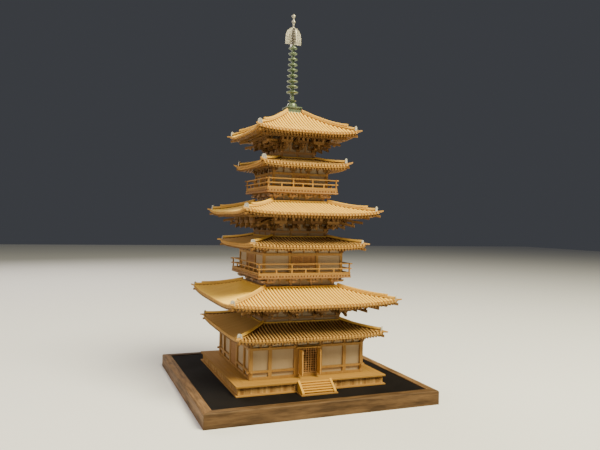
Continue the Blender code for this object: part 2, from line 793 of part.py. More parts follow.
def makeRailing(balcony):
    """Three rails round the balcony whose ends cross and run past the corners, on main and short posts."""
    middle = balcony["railMiddle"]
    low = balcony["floorTop"] + gap
    top = balcony["railTop"]
    reach = balcony["railReach"]
    waist = balcony["waistTop"]
    foot = balcony["footRail"]
    thick = railThickness
    postHalf = railPostHalf
    rails = ((low, low + foot, middle + 0.9), (waist - thick, waist, reach - 0.7), (top - thick, top, reach))
    nose = []
    root = middle + thick / 2
    for bottom, height, half in rails:
        nose += [(root, bottom), (half, bottom), (half, height), (root, height)]
    outline = [(-out, z) for out, z in nose[::-1]] + nose
    main = sorted([sign * place for place in (*balcony["mainPosts"], middle) for sign in (-1, 1)])
    every = sorted(set(main + [sign * place for place in balcony["shortPosts"] for sign in (-1, 1)]))
    holes = []
    for left, right in zip(every, every[1:]):
        holes.append(boardOutline(left + postHalf, right - postHalf, low + foot, waist - thick))
    for left, right in zip(main, main[1:]):
        holes.append(boardOutline(left + postHalf, right - postHalf, waist, top - thick))
    shapes = []
    for turn in range(quarterTurns):
        side = wallBoard([outline] + holes, middle + railDepth / 2, railDepth)
        bmesh.ops.translate(side, verts=side.verts, vec=(0, 0, railStep * (turn % 2)))
        shapes.append(turned(side, 90.0 * turn))
    placePiece(f"{balcony['name']}_railing", fused(shapes), cypress)


def makeUpperWall(balcony, roof):
    """Posts and rails of three bays a side, with a board wall behind them."""
    name = balcony["name"]
    foot = balcony["floorTop"] + gap
    wall = roof["wall"]
    back = wall - frameDepth
    purlinTop = pentSoffit(roof, wall + 0.1) - gap
    beamLow, beamHigh = balcony["headBeam"]
    shapes = [
        bandRing(back, wall - 0.2, foot, foot + upperRail),
        bandRing(back, wall + 0.1, beamLow, beamHigh),
        bandRing(back, wall - 0.1, purlinTop - upperRail, purlinTop),
    ]
    half = columnHalf
    low, high = foot + 0.1, purlinTop - 0.5
    corner = wall - half + 0.15
    for turn in range(quarterTurns):
        made = [box((corner - half, -corner - half, low), (corner + half, -corner + half, high))]
        for place in balcony["wallPosts"]:
            for at in (-place, place):
                made.append(box((at - half, -wall - 0.15, low), (at + half, -back - 0.05, high)))
        shapes += [turned(timber, 90.0 * turn) for timber in made]
    placePiece(f"{name}_wall_frame", fused(shapes), cypress)
    outer = back - 1.0  # clear of the corner posts, which reach further in than the rails
    placePiece(f"{name}_wall_boards", bandRing(outer - boardDepth, outer, foot, purlinTop), whiteBoard)


# Spire

def makeSpire():
    low = mainTiers[-1]["roofTopHeight"] + gap
    half, height = baseBox
    flangeLow, flangeTop = low + height + sunk, low + height + 1.9
    body = squareBlock(half, low, low + height + 1.0)
    flange = squareBlock(half + baseFlange, flangeLow, flangeTop)
    placePiece("spire_base", fused([body, flange]), patina)
    bottom = flangeTop + gap
    bowl = [(0.0, ringFoot), (3.6, ringFoot), (3.9, ringFoot - 0.5), (2.4, ringFoot - 1.3)]
    for step in range(5):
        turn = math.radians(90.0 * step / 4)
        bowl.append((2.4 + 2.3 * math.sin(turn), bottom + 0.6 + 3.6 * math.cos(turn)))
    bowl += [(5.2, bottom + 0.3), (5.2, bottom), (0.0, bottom)]
    turnedPiece("spire_bowl_and_lotus", bowl, 16, patina)
    rings = [(0.0, ringTop), (1.5, ringTop)]
    for number in reversed(range(ringCount)):
        share = number / (ringCount - 1)
        radius = ringRadii[0] + (ringRadii[1] - ringRadii[0]) * share
        height = firstRing + ringPitch * number
        neck = 0.4 * radius
        rings += [(neck, height + 1.8), (radius * 0.8, height + 1.0), (radius * 0.98, height + 0.2)]
        rings += [(radius * 0.96, height - 0.6), (neck, height - 1.5)]
    rings += [(1.9, ringFoot + gap), (0.0, ringFoot + gap)]
    turnedPiece("spire_nine_rings", rings, 14, patina)
    makeFlame()
    turnedPiece("spire_jewels", jewelProfile(), 14, paleMetal)


def jewelProfile():
    foot = flameHeights[1] + 1.6 + gap
    profile = [(0.0, spireTop), (0.4, spireTop - 1.2)]
    for middle, radius in ((350.6, 1.9), (345.2, 1.8)):
        for angle in (50, 20, -15, -50):
            turn = math.radians(angle)
            profile.append((radius * math.cos(turn), middle + radius * math.sin(turn)))
        profile.append((0.7, middle - radius - 0.3))
    profile[-1] = (0.7, foot)
    profile.append((0.0, foot))
    return profile


def flameOutline():
    """The fin's outline: a flat foot, upright sides, and shoulders that curve in to the tip."""
    low, high = flameHeights
    shoulder = flameReach * 0.97
    right = [(flameReach, low + 0.6), (shoulder, low + 6.5)]
    for step in range(1, 6):
        turn = math.radians(90.0 * step / 5)
        right.append((shoulder - 7.0 * (1 - math.cos(turn)), low + 6.5 + 8.5 * math.sin(turn)))
    right.append((0.2, high + 1.2))
    return [(0.0, low)] + right + [(-across, z) for across, z in right[::-1]]


def makeFlame():
    fin = [flameOutline()]
    fins = [wallBoard(fin, 0.25, 0.5), turned(wallBoard(fin, 0.27, 0.54), 90.0)]
    rod = bmesh.new()
    bmesh.ops.create_cone(rod, cap_ends=True, segments=8, radius1=0.9, radius2=0.7, depth=1.0)
    low, high = ringTop + gap, flameHeights[1] + 1.6
    for vert in rod.verts:
        vert.co.z = low if vert.co.z < 0 else high
    placePiece("spire_flame", fused([rod] + fins), paleMetal)


clearScene()
parts = newCollection("pagoda", True)
helpers = newCollection("helpers", False)
joining = bpy.data.collections.new("joining")
helpers.children.link(joining)
pagoda = bpy.data.objects.new("pagoda", None)
parts.objects.link(pagoda)

standWood = makeMaterial("stained_stand_wood", (0.20, 0.11, 0.05), 0.5)
panelBlack = makeMaterial("black_panel", (0.012, 0.012, 0.014), 0.6)
cypress = makeMaterial("cypress", (0.78, 0.53, 0.25), 0.6)
darkCypress = makeMaterial("shaded_cypress", (0.55, 0.30, 0.11), 0.65)
amberCypress = makeMaterial("amber_cypress", (0.62, 0.35, 0.13), 0.62)
whiteBoard = makeMaterial("white_board", (0.80, 0.72, 0.60), 0.7)
patina = makeMaterial("green_patina", (0.16, 0.24, 0.17), 0.5, 0.5)
paleMetal = makeMaterial("pale_metal", (0.72, 0.70, 0.62), 0.35, 0.8)

makeStand()
makePodium()
makeSteps()
makeGroundStorey()
makeDoorway()
for number, roof in enumerate(pentTiers, 1):
    makePentRoof(number, roof)
for number, roof in enumerate(mainTiers, 1):
    makeCore(number, roof)
    makeBrackets(number, roof)
    makeMainRoof(number, roof)
for balcony, roof in zip(balconies, pentTiers[1:]):
    makeBalcony(balcony)
    makeUpperWall(balcony, roof)
makeSpire()
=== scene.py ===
# Looks of the wooden pagoda model. Pieces are modelled in millimetres and turned into metres at the end.
import math
import random

import bpy
import numpy as np
from mathutils import Matrix, Vector


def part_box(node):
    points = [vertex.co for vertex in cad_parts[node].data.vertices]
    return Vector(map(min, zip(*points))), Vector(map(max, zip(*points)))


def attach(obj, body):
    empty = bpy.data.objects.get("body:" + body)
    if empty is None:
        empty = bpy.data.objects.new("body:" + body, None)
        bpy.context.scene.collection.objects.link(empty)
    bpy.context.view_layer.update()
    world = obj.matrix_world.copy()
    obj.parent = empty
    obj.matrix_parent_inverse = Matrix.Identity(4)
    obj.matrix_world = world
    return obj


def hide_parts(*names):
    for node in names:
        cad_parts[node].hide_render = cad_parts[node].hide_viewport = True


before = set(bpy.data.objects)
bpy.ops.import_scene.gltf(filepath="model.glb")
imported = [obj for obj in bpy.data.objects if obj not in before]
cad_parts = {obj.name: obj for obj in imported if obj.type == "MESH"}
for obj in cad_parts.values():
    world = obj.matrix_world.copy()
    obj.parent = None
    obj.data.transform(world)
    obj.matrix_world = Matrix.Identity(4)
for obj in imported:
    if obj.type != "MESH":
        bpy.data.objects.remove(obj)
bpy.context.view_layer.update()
chance = random.Random(11)  # tone and grain of each timber, the same on every run
millimetre = 0.001
print("frame loaded")


# Small helpers for working in the viewport's way

def pick(*pieces):
    bpy.ops.object.select_all(action="DESELECT")
    for piece in pieces:
        piece.select_set(True)
    bpy.context.view_layer.objects.active = pieces[0]


# Selects the faces or edges that the test wants, and runs the edit-mode work on them.
def editWith(piece, kind, wanted, work):
    mesh = piece.data
    for group in (mesh.vertices, mesh.edges, mesh.polygons):
        group.foreach_set("select", [False] * len(group))
    if kind == "FACE":
        mesh.polygons.foreach_set("select", [wanted(face.normal) for face in mesh.polygons])
    elif kind == "EDGE":
        corners = [vert.co.copy() for vert in mesh.vertices]
        chosen = [wanted(corners[edge.vertices[0]], corners[edge.vertices[1]]) for edge in mesh.edges]
        mesh.edges.foreach_set("select", chosen)
    pick(piece)
    bpy.context.tool_settings.mesh_select_mode = (False, kind == "EDGE", kind != "EDGE")
    bpy.ops.object.mode_set(mode="EDIT")
    if kind == "ALL":
        bpy.ops.mesh.select_all(action="SELECT")
    work()
    bpy.ops.object.mode_set(mode="OBJECT")


def bevelEdges(piece, wanted, offset, segments=1):  # all edges where no test is given
    editWith(
        piece, "EDGE" if wanted else "ALL", wanted,
        lambda: bpy.ops.mesh.bevel(offset=offset, segments=segments, affect="EDGES"),
    )


def cutLength(piece, axis, length, cuts):  # cuts across the edges that run the piece's whole length
    editWith(
        piece, "EDGE", lambda a, b: abs(a[axis] - b[axis]) > 0.9 * length,
        lambda: bpy.ops.mesh.subdivide(number_cuts=cuts),
    )


def cutAway(piece, place, side, threshold=0.001):  # takes off what lies on that side of the place
    editWith(
        piece, "ALL", None,
        lambda: bpy.ops.mesh.bisect(
            plane_co=place, plane_no=side, use_fill=True, clear_outer=True, threshold=threshold,
        ),
    )


def dishFront(piece, rim, depth):  # a rim around the front face, which then lies deeper
    editWith(
        piece, "FACE", lambda normal: normal.y < -0.9,
        lambda: (bpy.ops.mesh.inset(thickness=rim), bpy.ops.transform.translate(value=(0, depth, 0))),
    )


def atHeight(height, *points):
    return all(abs(point.z - height) < 0.01 for point in points)


def setPlace(piece):
    pick(piece)
    bpy.ops.object.transform_apply(location=True, rotation=True, scale=True)
    return piece


def moved(x, y, z):
    return Matrix.Translation((x, y, z))


def turned(angle):
    return Matrix.Rotation(math.radians(angle), 4, "Z")


# The places of a mesh's points, or the grain kept on them, as rows of three.
def pointRows(mesh, grain=False):
    rows = np.empty(len(mesh.vertices) * 3, np.float32)
    if grain:
        mesh.attributes["grain"].data.foreach_get("vector", rows)
    else:
        mesh.vertices.foreach_get("co", rows)
    return rows.reshape(-1, 3)


def setPointRows(mesh, rows, grain=False):
    rows = rows.astype(np.float32).ravel()
    if grain:
        mesh.attributes["grain"].data.foreach_set("vector", rows)
    else:
        mesh.vertices.foreach_set("co", rows)
        mesh.update()


def randomShift(most):
    return np.array([chance.uniform(-most, most) for place in range(3)], np.float32)


# How far the grain of a new timber, of a copy, and of the next timber in a row lies from the last.
grainShifts = {"timber": 900, "copy": 500, "row": 137.0}


# Keeps each point's place in its timber, with the length first, so that the grain follows the timber.
def markGrain(piece, along="X"):
    places = np.roll(pointRows(piece.data), -"XYZ".index(along), axis=1)
    if "grain" not in piece.data.attributes:
        piece.data.attributes.new("grain", "FLOAT_VECTOR", "POINT")
    setPointRows(piece.data, places + randomShift(grainShifts["timber"]), grain=True)
    return piece


def box(low, high):
    low, high = Vector(low), Vector(high)
    bpy.ops.mesh.primitive_cube_add(size=1, location=(low + high) / 2)
    piece = bpy.context.object
    piece.scale = high - low
    return setPlace(piece)


# A sawn timber between two corners, its edges eased, with cuts across its length where it bends.
def timber(low, high, along="X", bevel=0.0, cuts=0):
    piece = box(low, high)
    if cuts:
        axis = "XYZ".index(along)
        cutLength(piece, axis, high[axis] - low[axis], cuts)
    if bevel:
        bevelEdges(piece, None, bevel)
    return markGrain(piece, along)


def cylinder(sides, radius, depth, place, lying=False):
    turn = (math.radians(90), 0, 0) if lying else (0, 0, 0)
    bpy.ops.mesh.primitive_cylinder_add(
        vertices=sides, radius=radius, depth=depth, location=place, rotation=turn,
    )
    return setPlace(bpy.context.object)


def copyOf(piece, matrix):
    made = piece.copy()
    made.data = piece.data.copy()
    made.data.transform(matrix)
    bpy.context.scene.collection.objects.link(made)
    if "grain" in made.data.attributes:
        rows = pointRows(made.data, grain=True) + randomShift(grainShifts["copy"])
        setPointRows(made.data, rows, grain=True)
    return made


# Copies of the pieces at each place along the side, instead of the pieces.
def repeatedAt(places, pieces):
    made = [copyOf(piece, moved(place, 0, 0)) for place in places for piece in pieces]
    for piece in pieces:
        bpy.data.objects.remove(piece)
    return made


# Each distance to the left and right of the middle, or once where it is the middle.
def bothSides(distances):
    return [side * distance for distance in distances for side in ((-1, 1) if distance else (1,))]


def middlesBetween(places):
    return [(left + right) / 2 for left, right in zip(places, places[1:])]


def joined(pieces, name):
    pick(*pieces)
    if len(pieces) > 1:
        bpy.ops.object.join()
    made = bpy.context.object
    made.name = name
    made.data.name = name
    return made


# Joins the pieces of the front side and repeats them on the other three.
def aroundTower(pieces, name):
    front = joined(pieces, name)
    return joined([front] + [copyOf(front, turned(90 * side)) for side in (1, 2, 3)], name)


# Turns the piece into metres, gives it its finish, and hangs it on its body.
def finishPiece(piece, material, nodes=(), body="root_body", smooth=0.0):
    piece.data.transform(Matrix.Scale(millimetre, 4))
    piece.data.materials.clear()
    piece.data.materials.append(material)
    if smooth:
        pick(piece)
        bpy.ops.object.shade_smooth_by_angle(angle=math.radians(smooth))
    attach(piece, body)
    if nodes:
        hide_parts(*nodes)
    return piece


# Helpers for the finishes' nodes

def setInputs(node, values):
    for label, value in values.items():
        node.inputs[label].default_value = value


def groupOf(name, sockets, outputs):
    group = bpy.data.node_groups.new(name, "ShaderNodeTree")
    for label, kind, value in sockets:
        made = group.interface.new_socket(label, in_out="INPUT", socket_type=kind)
        if value is not None:
            made.default_value = value
    for label, kind in outputs:
        group.interface.new_socket(label, in_out="OUTPUT", socket_type=kind)
    return group, group.nodes.new("NodeGroupInput"), group.nodes.new("NodeGroupOutput")


def groupNode(tree, group, values):
    node = tree.nodes.new("ShaderNodeGroup")
    node.node_tree = group
    setInputs(node, values)
    return node


def noiseNode(tree, vector, scale, detail=2.0, distortion=0.0):
    noise = tree.nodes.new("ShaderNodeTexNoise")
    setInputs(noise, {"Scale": scale, "Detail": detail, "Distortion": distortion})
    tree.links.new(vector, noise.inputs["Vector"])
    return noise.outputs["Fac"]


def stretched(tree, vector, scale):
    mapping = tree.nodes.new("ShaderNodeMapping")
    setInputs(mapping, {"Scale": scale})
    tree.links.new(vector, mapping.inputs["Vector"])
    return mapping.outputs["Vector"]


def ranged(tree, value, low, high, toLow=0.0, toHigh=1.0):
    node = tree.nodes.new("ShaderNodeMapRange")
    setInputs(node, {"From Min": low, "From Max": high, "To Min": toLow, "To Max": toHigh})
    tree.links.new(value, node.inputs["Value"])
    return node.outputs["Result"]


def mixed(tree, share, first, second):
    node = tree.nodes.new("ShaderNodeMix")
    node.data_type = "RGBA"
    tree.links.new(share, node.inputs["Factor"])
    for socket, colour in ((node.inputs["A"], first), (node.inputs["B"], second)):
        if isinstance(colour, tuple):
            socket.default_value = (*colour, 1.0)
        else:
            tree.links.new(colour, socket)
    return node.outputs["Result"]


def mathNode(tree, operation, first, second):
    node = tree.nodes.new("ShaderNodeMath")
    node.operation = operation
    for socket, value in zip(node.inputs, (first, second)):
        if isinstance(value, (int, float)):
            socket.default_value = value
        else:
            tree.links.new(value, socket)
    return node.outputs["Value"]


# Adds a value times its weight to a share.
def withMore(tree, share, value, weight):
    return mathNode(tree, "ADD", share, mathNode(tree, "MULTIPLY", value, weight))


# Straight-grained timber: a tone for each piece, long growth lines and short fibres.
grainSettings = {
    "toneScale": 0.006, "toneRange": (0.32, 0.68),
    "lineStretch": (0.012, 0.55, 0.55), "lineWaver": 0.6, "lineRange": (0.42, 0.62), "lineHeight": 0.4,
    "fibreStretch": (0.12, 4.0, 4.0), "fibreRange": (0.3, 0.7),
    "roughness": (0.48, 0.68), "shine": 0.12, "depth": 0.06,
}


def makeGrainGroup():
    group, given, out = groupOf(
        "timberGrain",
        [
            ("Place", "NodeSocketVector", None), ("Light", "NodeSocketColor", (0.8, 0.55, 0.25, 1)),
            ("Dark", "NodeSocketColor", (0.6, 0.35, 0.12, 1)), ("Tone", "NodeSocketFloat", 0.4),
            ("Lines", "NodeSocketFloat", 0.5), ("Flecks", "NodeSocketFloat", 0.18),
        ],
        [("Colour", "NodeSocketColor"), ("Roughness", "NodeSocketFloat"), ("Height", "NodeSocketFloat")],
    )
    settings = grainSettings
    place = given.outputs["Place"]
    tone = ranged(group, noiseNode(group, place, settings["toneScale"], 1.0), *settings["toneRange"])
    drawnOut = stretched(group, place, settings["lineStretch"])
    lines = ranged(group, noiseNode(group, drawnOut, 1.0, 3.0, settings["lineWaver"]), *settings["lineRange"])
    fibres = noiseNode(group, stretched(group, place, settings["fibreStretch"]), 1.0, 4.0)
    fleck = ranged(group, fibres, *settings["fibreRange"])
    share = mathNode(group, "MULTIPLY", tone, given.outputs["Tone"])
    share = withMore(group, share, lines, given.outputs["Lines"])
    share = withMore(group, share, fleck, given.outputs["Flecks"])
    colour = mixed(group, share, given.outputs["Light"], given.outputs["Dark"])
    group.links.new(colour, out.inputs["Colour"])
    group.links.new(ranged(group, share, 0.0, 1.0, *settings["roughness"]), out.inputs["Roughness"])
    height = mathNode(group, "ADD", mathNode(group, "MULTIPLY", lines, settings["lineHeight"]), fleck)
    group.links.new(height, out.inputs["Height"])
    return group


# Uneven colour for paint, patina and cast metal: broad clouds and fine specks.
mottleSettings = {
    "range": (0.35, 0.65), "speckScale": 2.6, "speckShare": 0.3, "roughnessSpread": 0.08,
    "bump": 0.2, "depth": 0.05,
}


def makeMottleGroup():
    group, given, out = groupOf(
        "mottle",
        [("Place", "NodeSocketVector", None), ("Cloud size", "NodeSocketFloat", 6.0)],
        [("Clouds", "NodeSocketFloat"), ("Specks", "NodeSocketFloat")],
    )
    place = given.outputs["Place"]
    cells = group.nodes.new("ShaderNodeVectorMath")
    cells.operation = "DIVIDE"
    group.links.new(place, cells.inputs[0])
    group.links.new(given.outputs["Cloud size"], cells.inputs[1])
    clouds = noiseNode(group, cells.outputs[0], 1.0, 4.0)
    group.links.new(ranged(group, clouds, *mottleSettings["range"]), out.inputs["Clouds"])
    specks = noiseNode(group, place, mottleSettings["speckScale"], 2.0)
    group.links.new(ranged(group, specks, *mottleSettings["range"]), out.inputs["Specks"])
    return group


def newMaterial(name):
    material = bpy.data.materials.new(name)
    material.use_nodes = True
    return material, material.node_tree.nodes["Principled BSDF"]


# Where a point lies in its timber, in millimetres: kept on the piece, or for a CAD node its own place.
def placed(tree, turn=None):
    if turn is None:
        source = tree.nodes.new("ShaderNodeAttribute")
        source.attribute_name = "grain"
        return source.outputs["Vector"]
    source = tree.nodes.new("ShaderNodeTexCoord")
    mapping = tree.nodes.new("ShaderNodeMapping")
    rotation = [math.radians(angle) for angle in turn]
    setInputs(mapping, {"Scale": (1000, 1000, 1000), "Rotation": rotation})
    tree.links.new(source.outputs["Object"], mapping.inputs["Vector"])
    return mapping.outputs["Vector"]


def bumped(tree, height, shader, strength, depth):
    bump = tree.nodes.new("ShaderNodeBump")
    setInputs(bump, {"Strength": strength, "Distance": depth * millimetre})
    tree.links.new(height, bump.inputs["Height"])
    tree.links.new(bump.outputs["Normal"], shader.inputs["Normal"])


def timberMaterial(name, light, dark, tone=0.4, lines=0.35, turn=None, flecks=0.18, bump=0.25):
    material, shader = newMaterial(name)
    tree = material.node_tree
    grain = groupNode(tree, grainGroup, {
        "Light": (*light, 1), "Dark": (*dark, 1), "Tone": tone, "Lines": lines, "Flecks": flecks,
    })
    tree.links.new(placed(tree, turn), grain.inputs["Place"])
    tree.links.new(grain.outputs["Colour"], shader.inputs["Base Color"])
    tree.links.new(grain.outputs["Roughness"], shader.inputs["Roughness"])
    setInputs(shader, {"Specular IOR Level": grainSettings["shine"]})
    bumped(tree, grain.outputs["Height"], shader, bump, grainSettings["depth"])
    return material


# Stained stand timber: the grain under dark blotches drawn out along the member.
stain = {
    "light": (0.19, 0.11, 0.052), "dark": (0.062, 0.032, 0.013), "blotch": (0.018, 0.009, 0.004),
    "blotchSize": 4.0, "drawnOut": (0.18, 1.0, 1.0), "blotchRange": (0.1, 1.0, 0.0, 0.6),
}


def stainedMaterial(name, turn, strength=1.0):
    light, dark = ([strength * value for value in stain[shade]] for shade in ("light", "dark"))
    material = timberMaterial(name, light, dark, tone=0.3, lines=0.3, turn=turn, flecks=0.5, bump=0.5)
    tree = material.node_tree
    colour = tree.nodes["Principled BSDF"].inputs["Base Color"]
    under = colour.links[0].from_socket
    mottle = groupNode(tree, mottleGroup, {"Cloud size": stain["blotchSize"]})
    tree.links.new(stretched(tree, placed(tree, turn), stain["drawnOut"]), mottle.inputs["Place"])
    share = ranged(tree, mottle.outputs["Clouds"], *stain["blotchRange"])
    tree.links.new(mixed(tree, share, under, stain["blotch"]), colour)
    return material


def mottledMaterial(name, first, second, roughness, metallic=0.0, size=6.0, shine=0.4):
    given = mottleSettings
    material, shader = newMaterial(name)
    tree = material.node_tree
    mottle = groupNode(tree, mottleGroup, {"Cloud size": size})
    tree.links.new(placed(tree, (0, 0, 0)), mottle.inputs["Place"])
    share = mathNode(tree, "MULTIPLY", mottle.outputs["Specks"], given["speckShare"])
    share = withMore(tree, share, mottle.outputs["Clouds"], 1 - given["speckShare"])
    tree.links.new(mixed(tree, share, first, second), shader.inputs["Base Color"])
    spread = given["roughnessSpread"]
    rough = ranged(tree, share, 0.0, 1.0, roughness - spread, roughness + spread)
    tree.links.new(rough, shader.inputs["Roughness"])
    setInputs(shader, {"Metallic": metallic, "Specular IOR Level": shine})
    bumped(tree, mottle.outputs["Specks"], shader, given["bump"], given["depth"])
    return material


grainGroup = makeGrainGroup()
mottleGroup = makeMottleGroup()

cypressLight = (1.0, 0.66, 0.105)
cypressDark = (0.78, 0.44, 0.06)
# Deep amber of the bracket and wall arms: partly the burnt edges of the laser-cut parts, partly painted shade
# under the eaves.
amberLight = (0.25, 0.13, 0.042)
amberDark = (0.065, 0.027, 0.008)
# Colour of the white wall boards, darkened to a tan: partly the boards' own pale colour, partly painted shade
# under the eaves.
boardLight = (0.43, 0.32, 0.20)
boardDark = (0.34, 0.235, 0.13)
tileWood = timberMaterial("tileCypress", cypressLight, cypressDark, tone=0.2, lines=0.15)
# The pent roofs' tiles: a darker, duller copy of the tile cypress, painted shade from the main roofs above.
shadedPentTileWood = timberMaterial(
    "pentTileCypressShaded", (0.66, 0.42, 0.145), (0.48, 0.265, 0.08), tone=0.2, lines=0.15,
)
# Bed under the cover tiles, much darker than the tiles: painted shade in the valleys between the caps.
bedWood = timberMaterial("tileBedWood", (0.34, 0.155, 0.035), (0.22, 0.09, 0.018), tone=0.2, lines=0.2)
# Near-black cypress: painted shade in the pent roofs' valleys, under the ridges, behind the pent tile ends
# and between the balcony joists.
shadeFillWood = timberMaterial("shadeFillCypress", (0.15, 0.065, 0.017), (0.085, 0.034, 0.009), tone=0.2, lines=0.2)
# Hips and foot boards in a honey darker than the tiles: painted shade on the ridges' sides.
ridgeWood = timberMaterial("ridgeCypress", (0.74, 0.47, 0.10), (0.52, 0.29, 0.052), tone=0.3, lines=0.2)
# Tile ends, edge boards and prow tiles darker than the tiles: painted shade on their front-facing faces.
shadedEndWood = timberMaterial("tileEndsShaded", (0.50, 0.28, 0.075), (0.34, 0.17, 0.04), tone=0.5, lines=0.2)
# Rafters and ceiling boards: dark, painted shade under the eaves.
shadedEavesWood = timberMaterial("eavesCypress", (0.22, 0.115, 0.034), (0.135, 0.063, 0.017), tone=0.35, lines=0.3)
# Partly burnt laser-cut edges, partly painted shade under the eaves.
amberWood = timberMaterial("amberCypress", amberLight, amberDark, tone=0.6, lines=0.3)
railWood = timberMaterial("railCypress", (0.40, 0.22, 0.062), (0.26, 0.125, 0.032), lines=0.3, turn=(0, 0, 0))
plankWood = timberMaterial("podiumPlanks", (0.66, 0.41, 0.15), (0.26, 0.13, 0.042), tone=0.85, lines=0.25)
doorWood = timberMaterial("doorPlanks", (0.38, 0.195, 0.07), (0.21, 0.10, 0.034), tone=0.5, lines=0.3)
frameWood = timberMaterial("frameCypress", (0.55, 0.31, 0.085), (0.36, 0.175, 0.04), tone=0.35, lines=0.3)
stepWood = timberMaterial("stepCypress", (0.56, 0.31, 0.045), (0.40, 0.19, 0.026), tone=0.35, lines=0.3)
deckWood = timberMaterial("deckCypress", (0.35, 0.19, 0.042), (0.25, 0.12, 0.024), tone=0.35, lines=0.3)
# Balcony arms paler and greyer than the other timbers: painted light, since the arms stand in shade under the
# floors.
litArmWood = timberMaterial("balconyArmsLit", (0.46, 0.32, 0.205), (0.24, 0.15, 0.085), tone=0.5, lines=0.3)
joistWood = timberMaterial("balconyJoists", (0.36, 0.205, 0.09), (0.18, 0.092, 0.034), tone=0.5, lines=0.3)
latticeWood = timberMaterial("latticeWood", (0.54, 0.30, 0.12), (0.37, 0.185, 0.065), tone=0.3, lines=0.3)
frameWoodZ = timberMaterial(
    "frameCypressZ", (0.40, 0.225, 0.068), (0.26, 0.128, 0.034), lines=0.3, turn=(0, 90, 0),
)
shadeWood = timberMaterial("shadedCypress", (0.09, 0.038, 0.012), (0.045, 0.018, 0.006), turn=(0, 90, 0))
standWoodX = stainedMaterial("walnutStainX", (0, 0, 0))
# The stand's side members are 1.8 times lighter than the front and back: painted light on the stand's sides.
litStandWoodY = stainedMaterial("walnutStainLitY", (0, 0, 90), strength=1.8)
boardWhite = timberMaterial(
    "whiteBoard", boardLight, boardDark, tone=0.3, lines=0.1, turn=(0, 90, 0), bump=0.1,
)
panelWhite = timberMaterial(
    "whitePanel", (0.40, 0.30, 0.195), (0.31, 0.215, 0.12), tone=0.3, lines=0.1, bump=0.1,
)
# Dim panels of the tower between the bracket sets and of the third storey: painted shade under the eaves.
panelShadeDim = timberMaterial("dimPanelShade", (0.28, 0.205, 0.13), (0.21, 0.145, 0.08), tone=0.3, lines=0.1, bump=0.1)
panelShade = timberMaterial(
    "balconyPanel", (0.34, 0.265, 0.185), (0.24, 0.175, 0.11), tone=0.3, lines=0.1, bump=0.1,
)
panelBlack = mottledMaterial(
    "blackPanel", (0.004, 0.0034, 0.0034), (0.01, 0.008, 0.0078), 0.75, size=30, shine=0.06,
)
patina = mottledMaterial(
    "greenPatina", (0.052, 0.086, 0.05), (0.19, 0.235, 0.15), 0.28, 0.35, size=3, shine=0.6,
)
footPatina = mottledMaterial("footPatina", (0.045, 0.075, 0.045), (0.13, 0.165, 0.11), 0.5, 0.15, size=3)
paleMetal = mottledMaterial("paleMetal", (0.24, 0.23, 0.185), (0.46, 0.43, 0.35), 0.36, 0.7, size=2)
shieldPaint = mottledMaterial("shieldTile", (0.40, 0.39, 0.33), (0.76, 0.74, 0.64), 0.42, 0.35, size=2)
print("finishes made")


# Roofs: sizes as in the frame. edge is the tile ends' height, fascia the underside of the rafter ends.

mainRoofs = (
    dict(
        eave=75.5, edge=84.5, fascia=80.7, top=34.7, topHeight=95.6, lift=3.0, step=9.0, inner=36.0,
        tip=(78.2, 89.0), rafter=(76.3, 83.7), low=(74.3, 90.0), high=(68.8, 92.3),
    ),
    dict(
        eave=62.7, edge=162.3, fascia=158.9, top=26.6, topHeight=172.6, lift=3.0, step=8.2, inner=26.5,
        tip=(65.2, 166.7), rafter=(63.5, 161.3), low=(60.3, 168.6), high=(54.4, 170.8),
    ),
    dict(
        eave=47.0, edge=235.4, fascia=232.1, top=7.2, topHeight=257.8, lift=2.8, step=7.5, inner=16.9,
        tip=(50.0, 239.4), rafter=(47.3, 233.9), low=(45.5, 242.0), high=(40.1, 245.6),
    ),
)
pentRoofs = (
    dict(
        eave=67.0, edge=56.3, fascia=52.0, top=36.45, topHeight=64.6, lift=2.2, inner=38.0,
        tip=(69.8, 58.8), rafter=(67.7, 54.3), low=(65.4, 61.3),
    ),
    dict(
        eave=54.0, edge=134.1, fascia=129.7, top=26.8, topHeight=140.6, lift=2.0, inner=28.0,
        tip=(56.6, 136.5), rafter=(54.4, 130.9), low=(51.5, 138.0),
    ),
    dict(
        eave=41.6, edge=206.6, fascia=202.5, top=17.2, topHeight=213.2, lift=2.0, inner=18.5,
        tip=(44.1, 210.7), rafter=(42.1, 205.7), low=(39.2, 212.4),
    ),
)
slopes = {
    "hollow": 0.26, "pent": 0.26, "base": 0.3, "flying": 0.14, "pentHip": 0.2, "end": 1.0, "baseDrop": 0.8,
}
diagonal = math.sqrt(2)


def upSlope(roof, half):
    return np.clip((roof["eave"] - half) / (roof["eave"] - roof["top"]), 0.0, 1.0)


# How far the eaves' sweep raises the roof towards its corners.
def liftAt(roof, half, lateral):
    return roof["lift"] * np.minimum(np.abs(lateral) / half, 1.0) ** 4 * (1 - upSlope(roof, half)) ** 2


def tileHeight(roof, half, lateral):
    share = upSlope(roof, half)
    rise = (roof["topHeight"] - roof["edge"]) * share * (1 - slopes["hollow"] + slopes["hollow"] * share)
    return roof["edge"] + rise + liftAt(roof, half, lateral)


def pentSoffit(roof, half, lateral):
    inwards = np.maximum(roof["eave"] - slopes["end"] - half, 0.0)
    return roof["fascia"] + inwards * slopes["pent"] + liftAt(roof, half, lateral)


# Underside of a main roof's base rafters.
def baseSoffit(roof, half, lateral):
    rise = (roof["eave"] - roof["step"] - half) * slopes["base"]
    return roof["fascia"] - slopes["baseDrop"] + rise + liftAt(roof, half, lateral)


# Underside of a main roof's flying rafters, which sit on the base rafters' ends.
def flyingSoffit(roof, half, lateral):
    rise = (roof["eave"] - slopes["end"] - half) * slopes["flying"]
    return roof["fascia"] + rise + liftAt(roof, half, lateral)


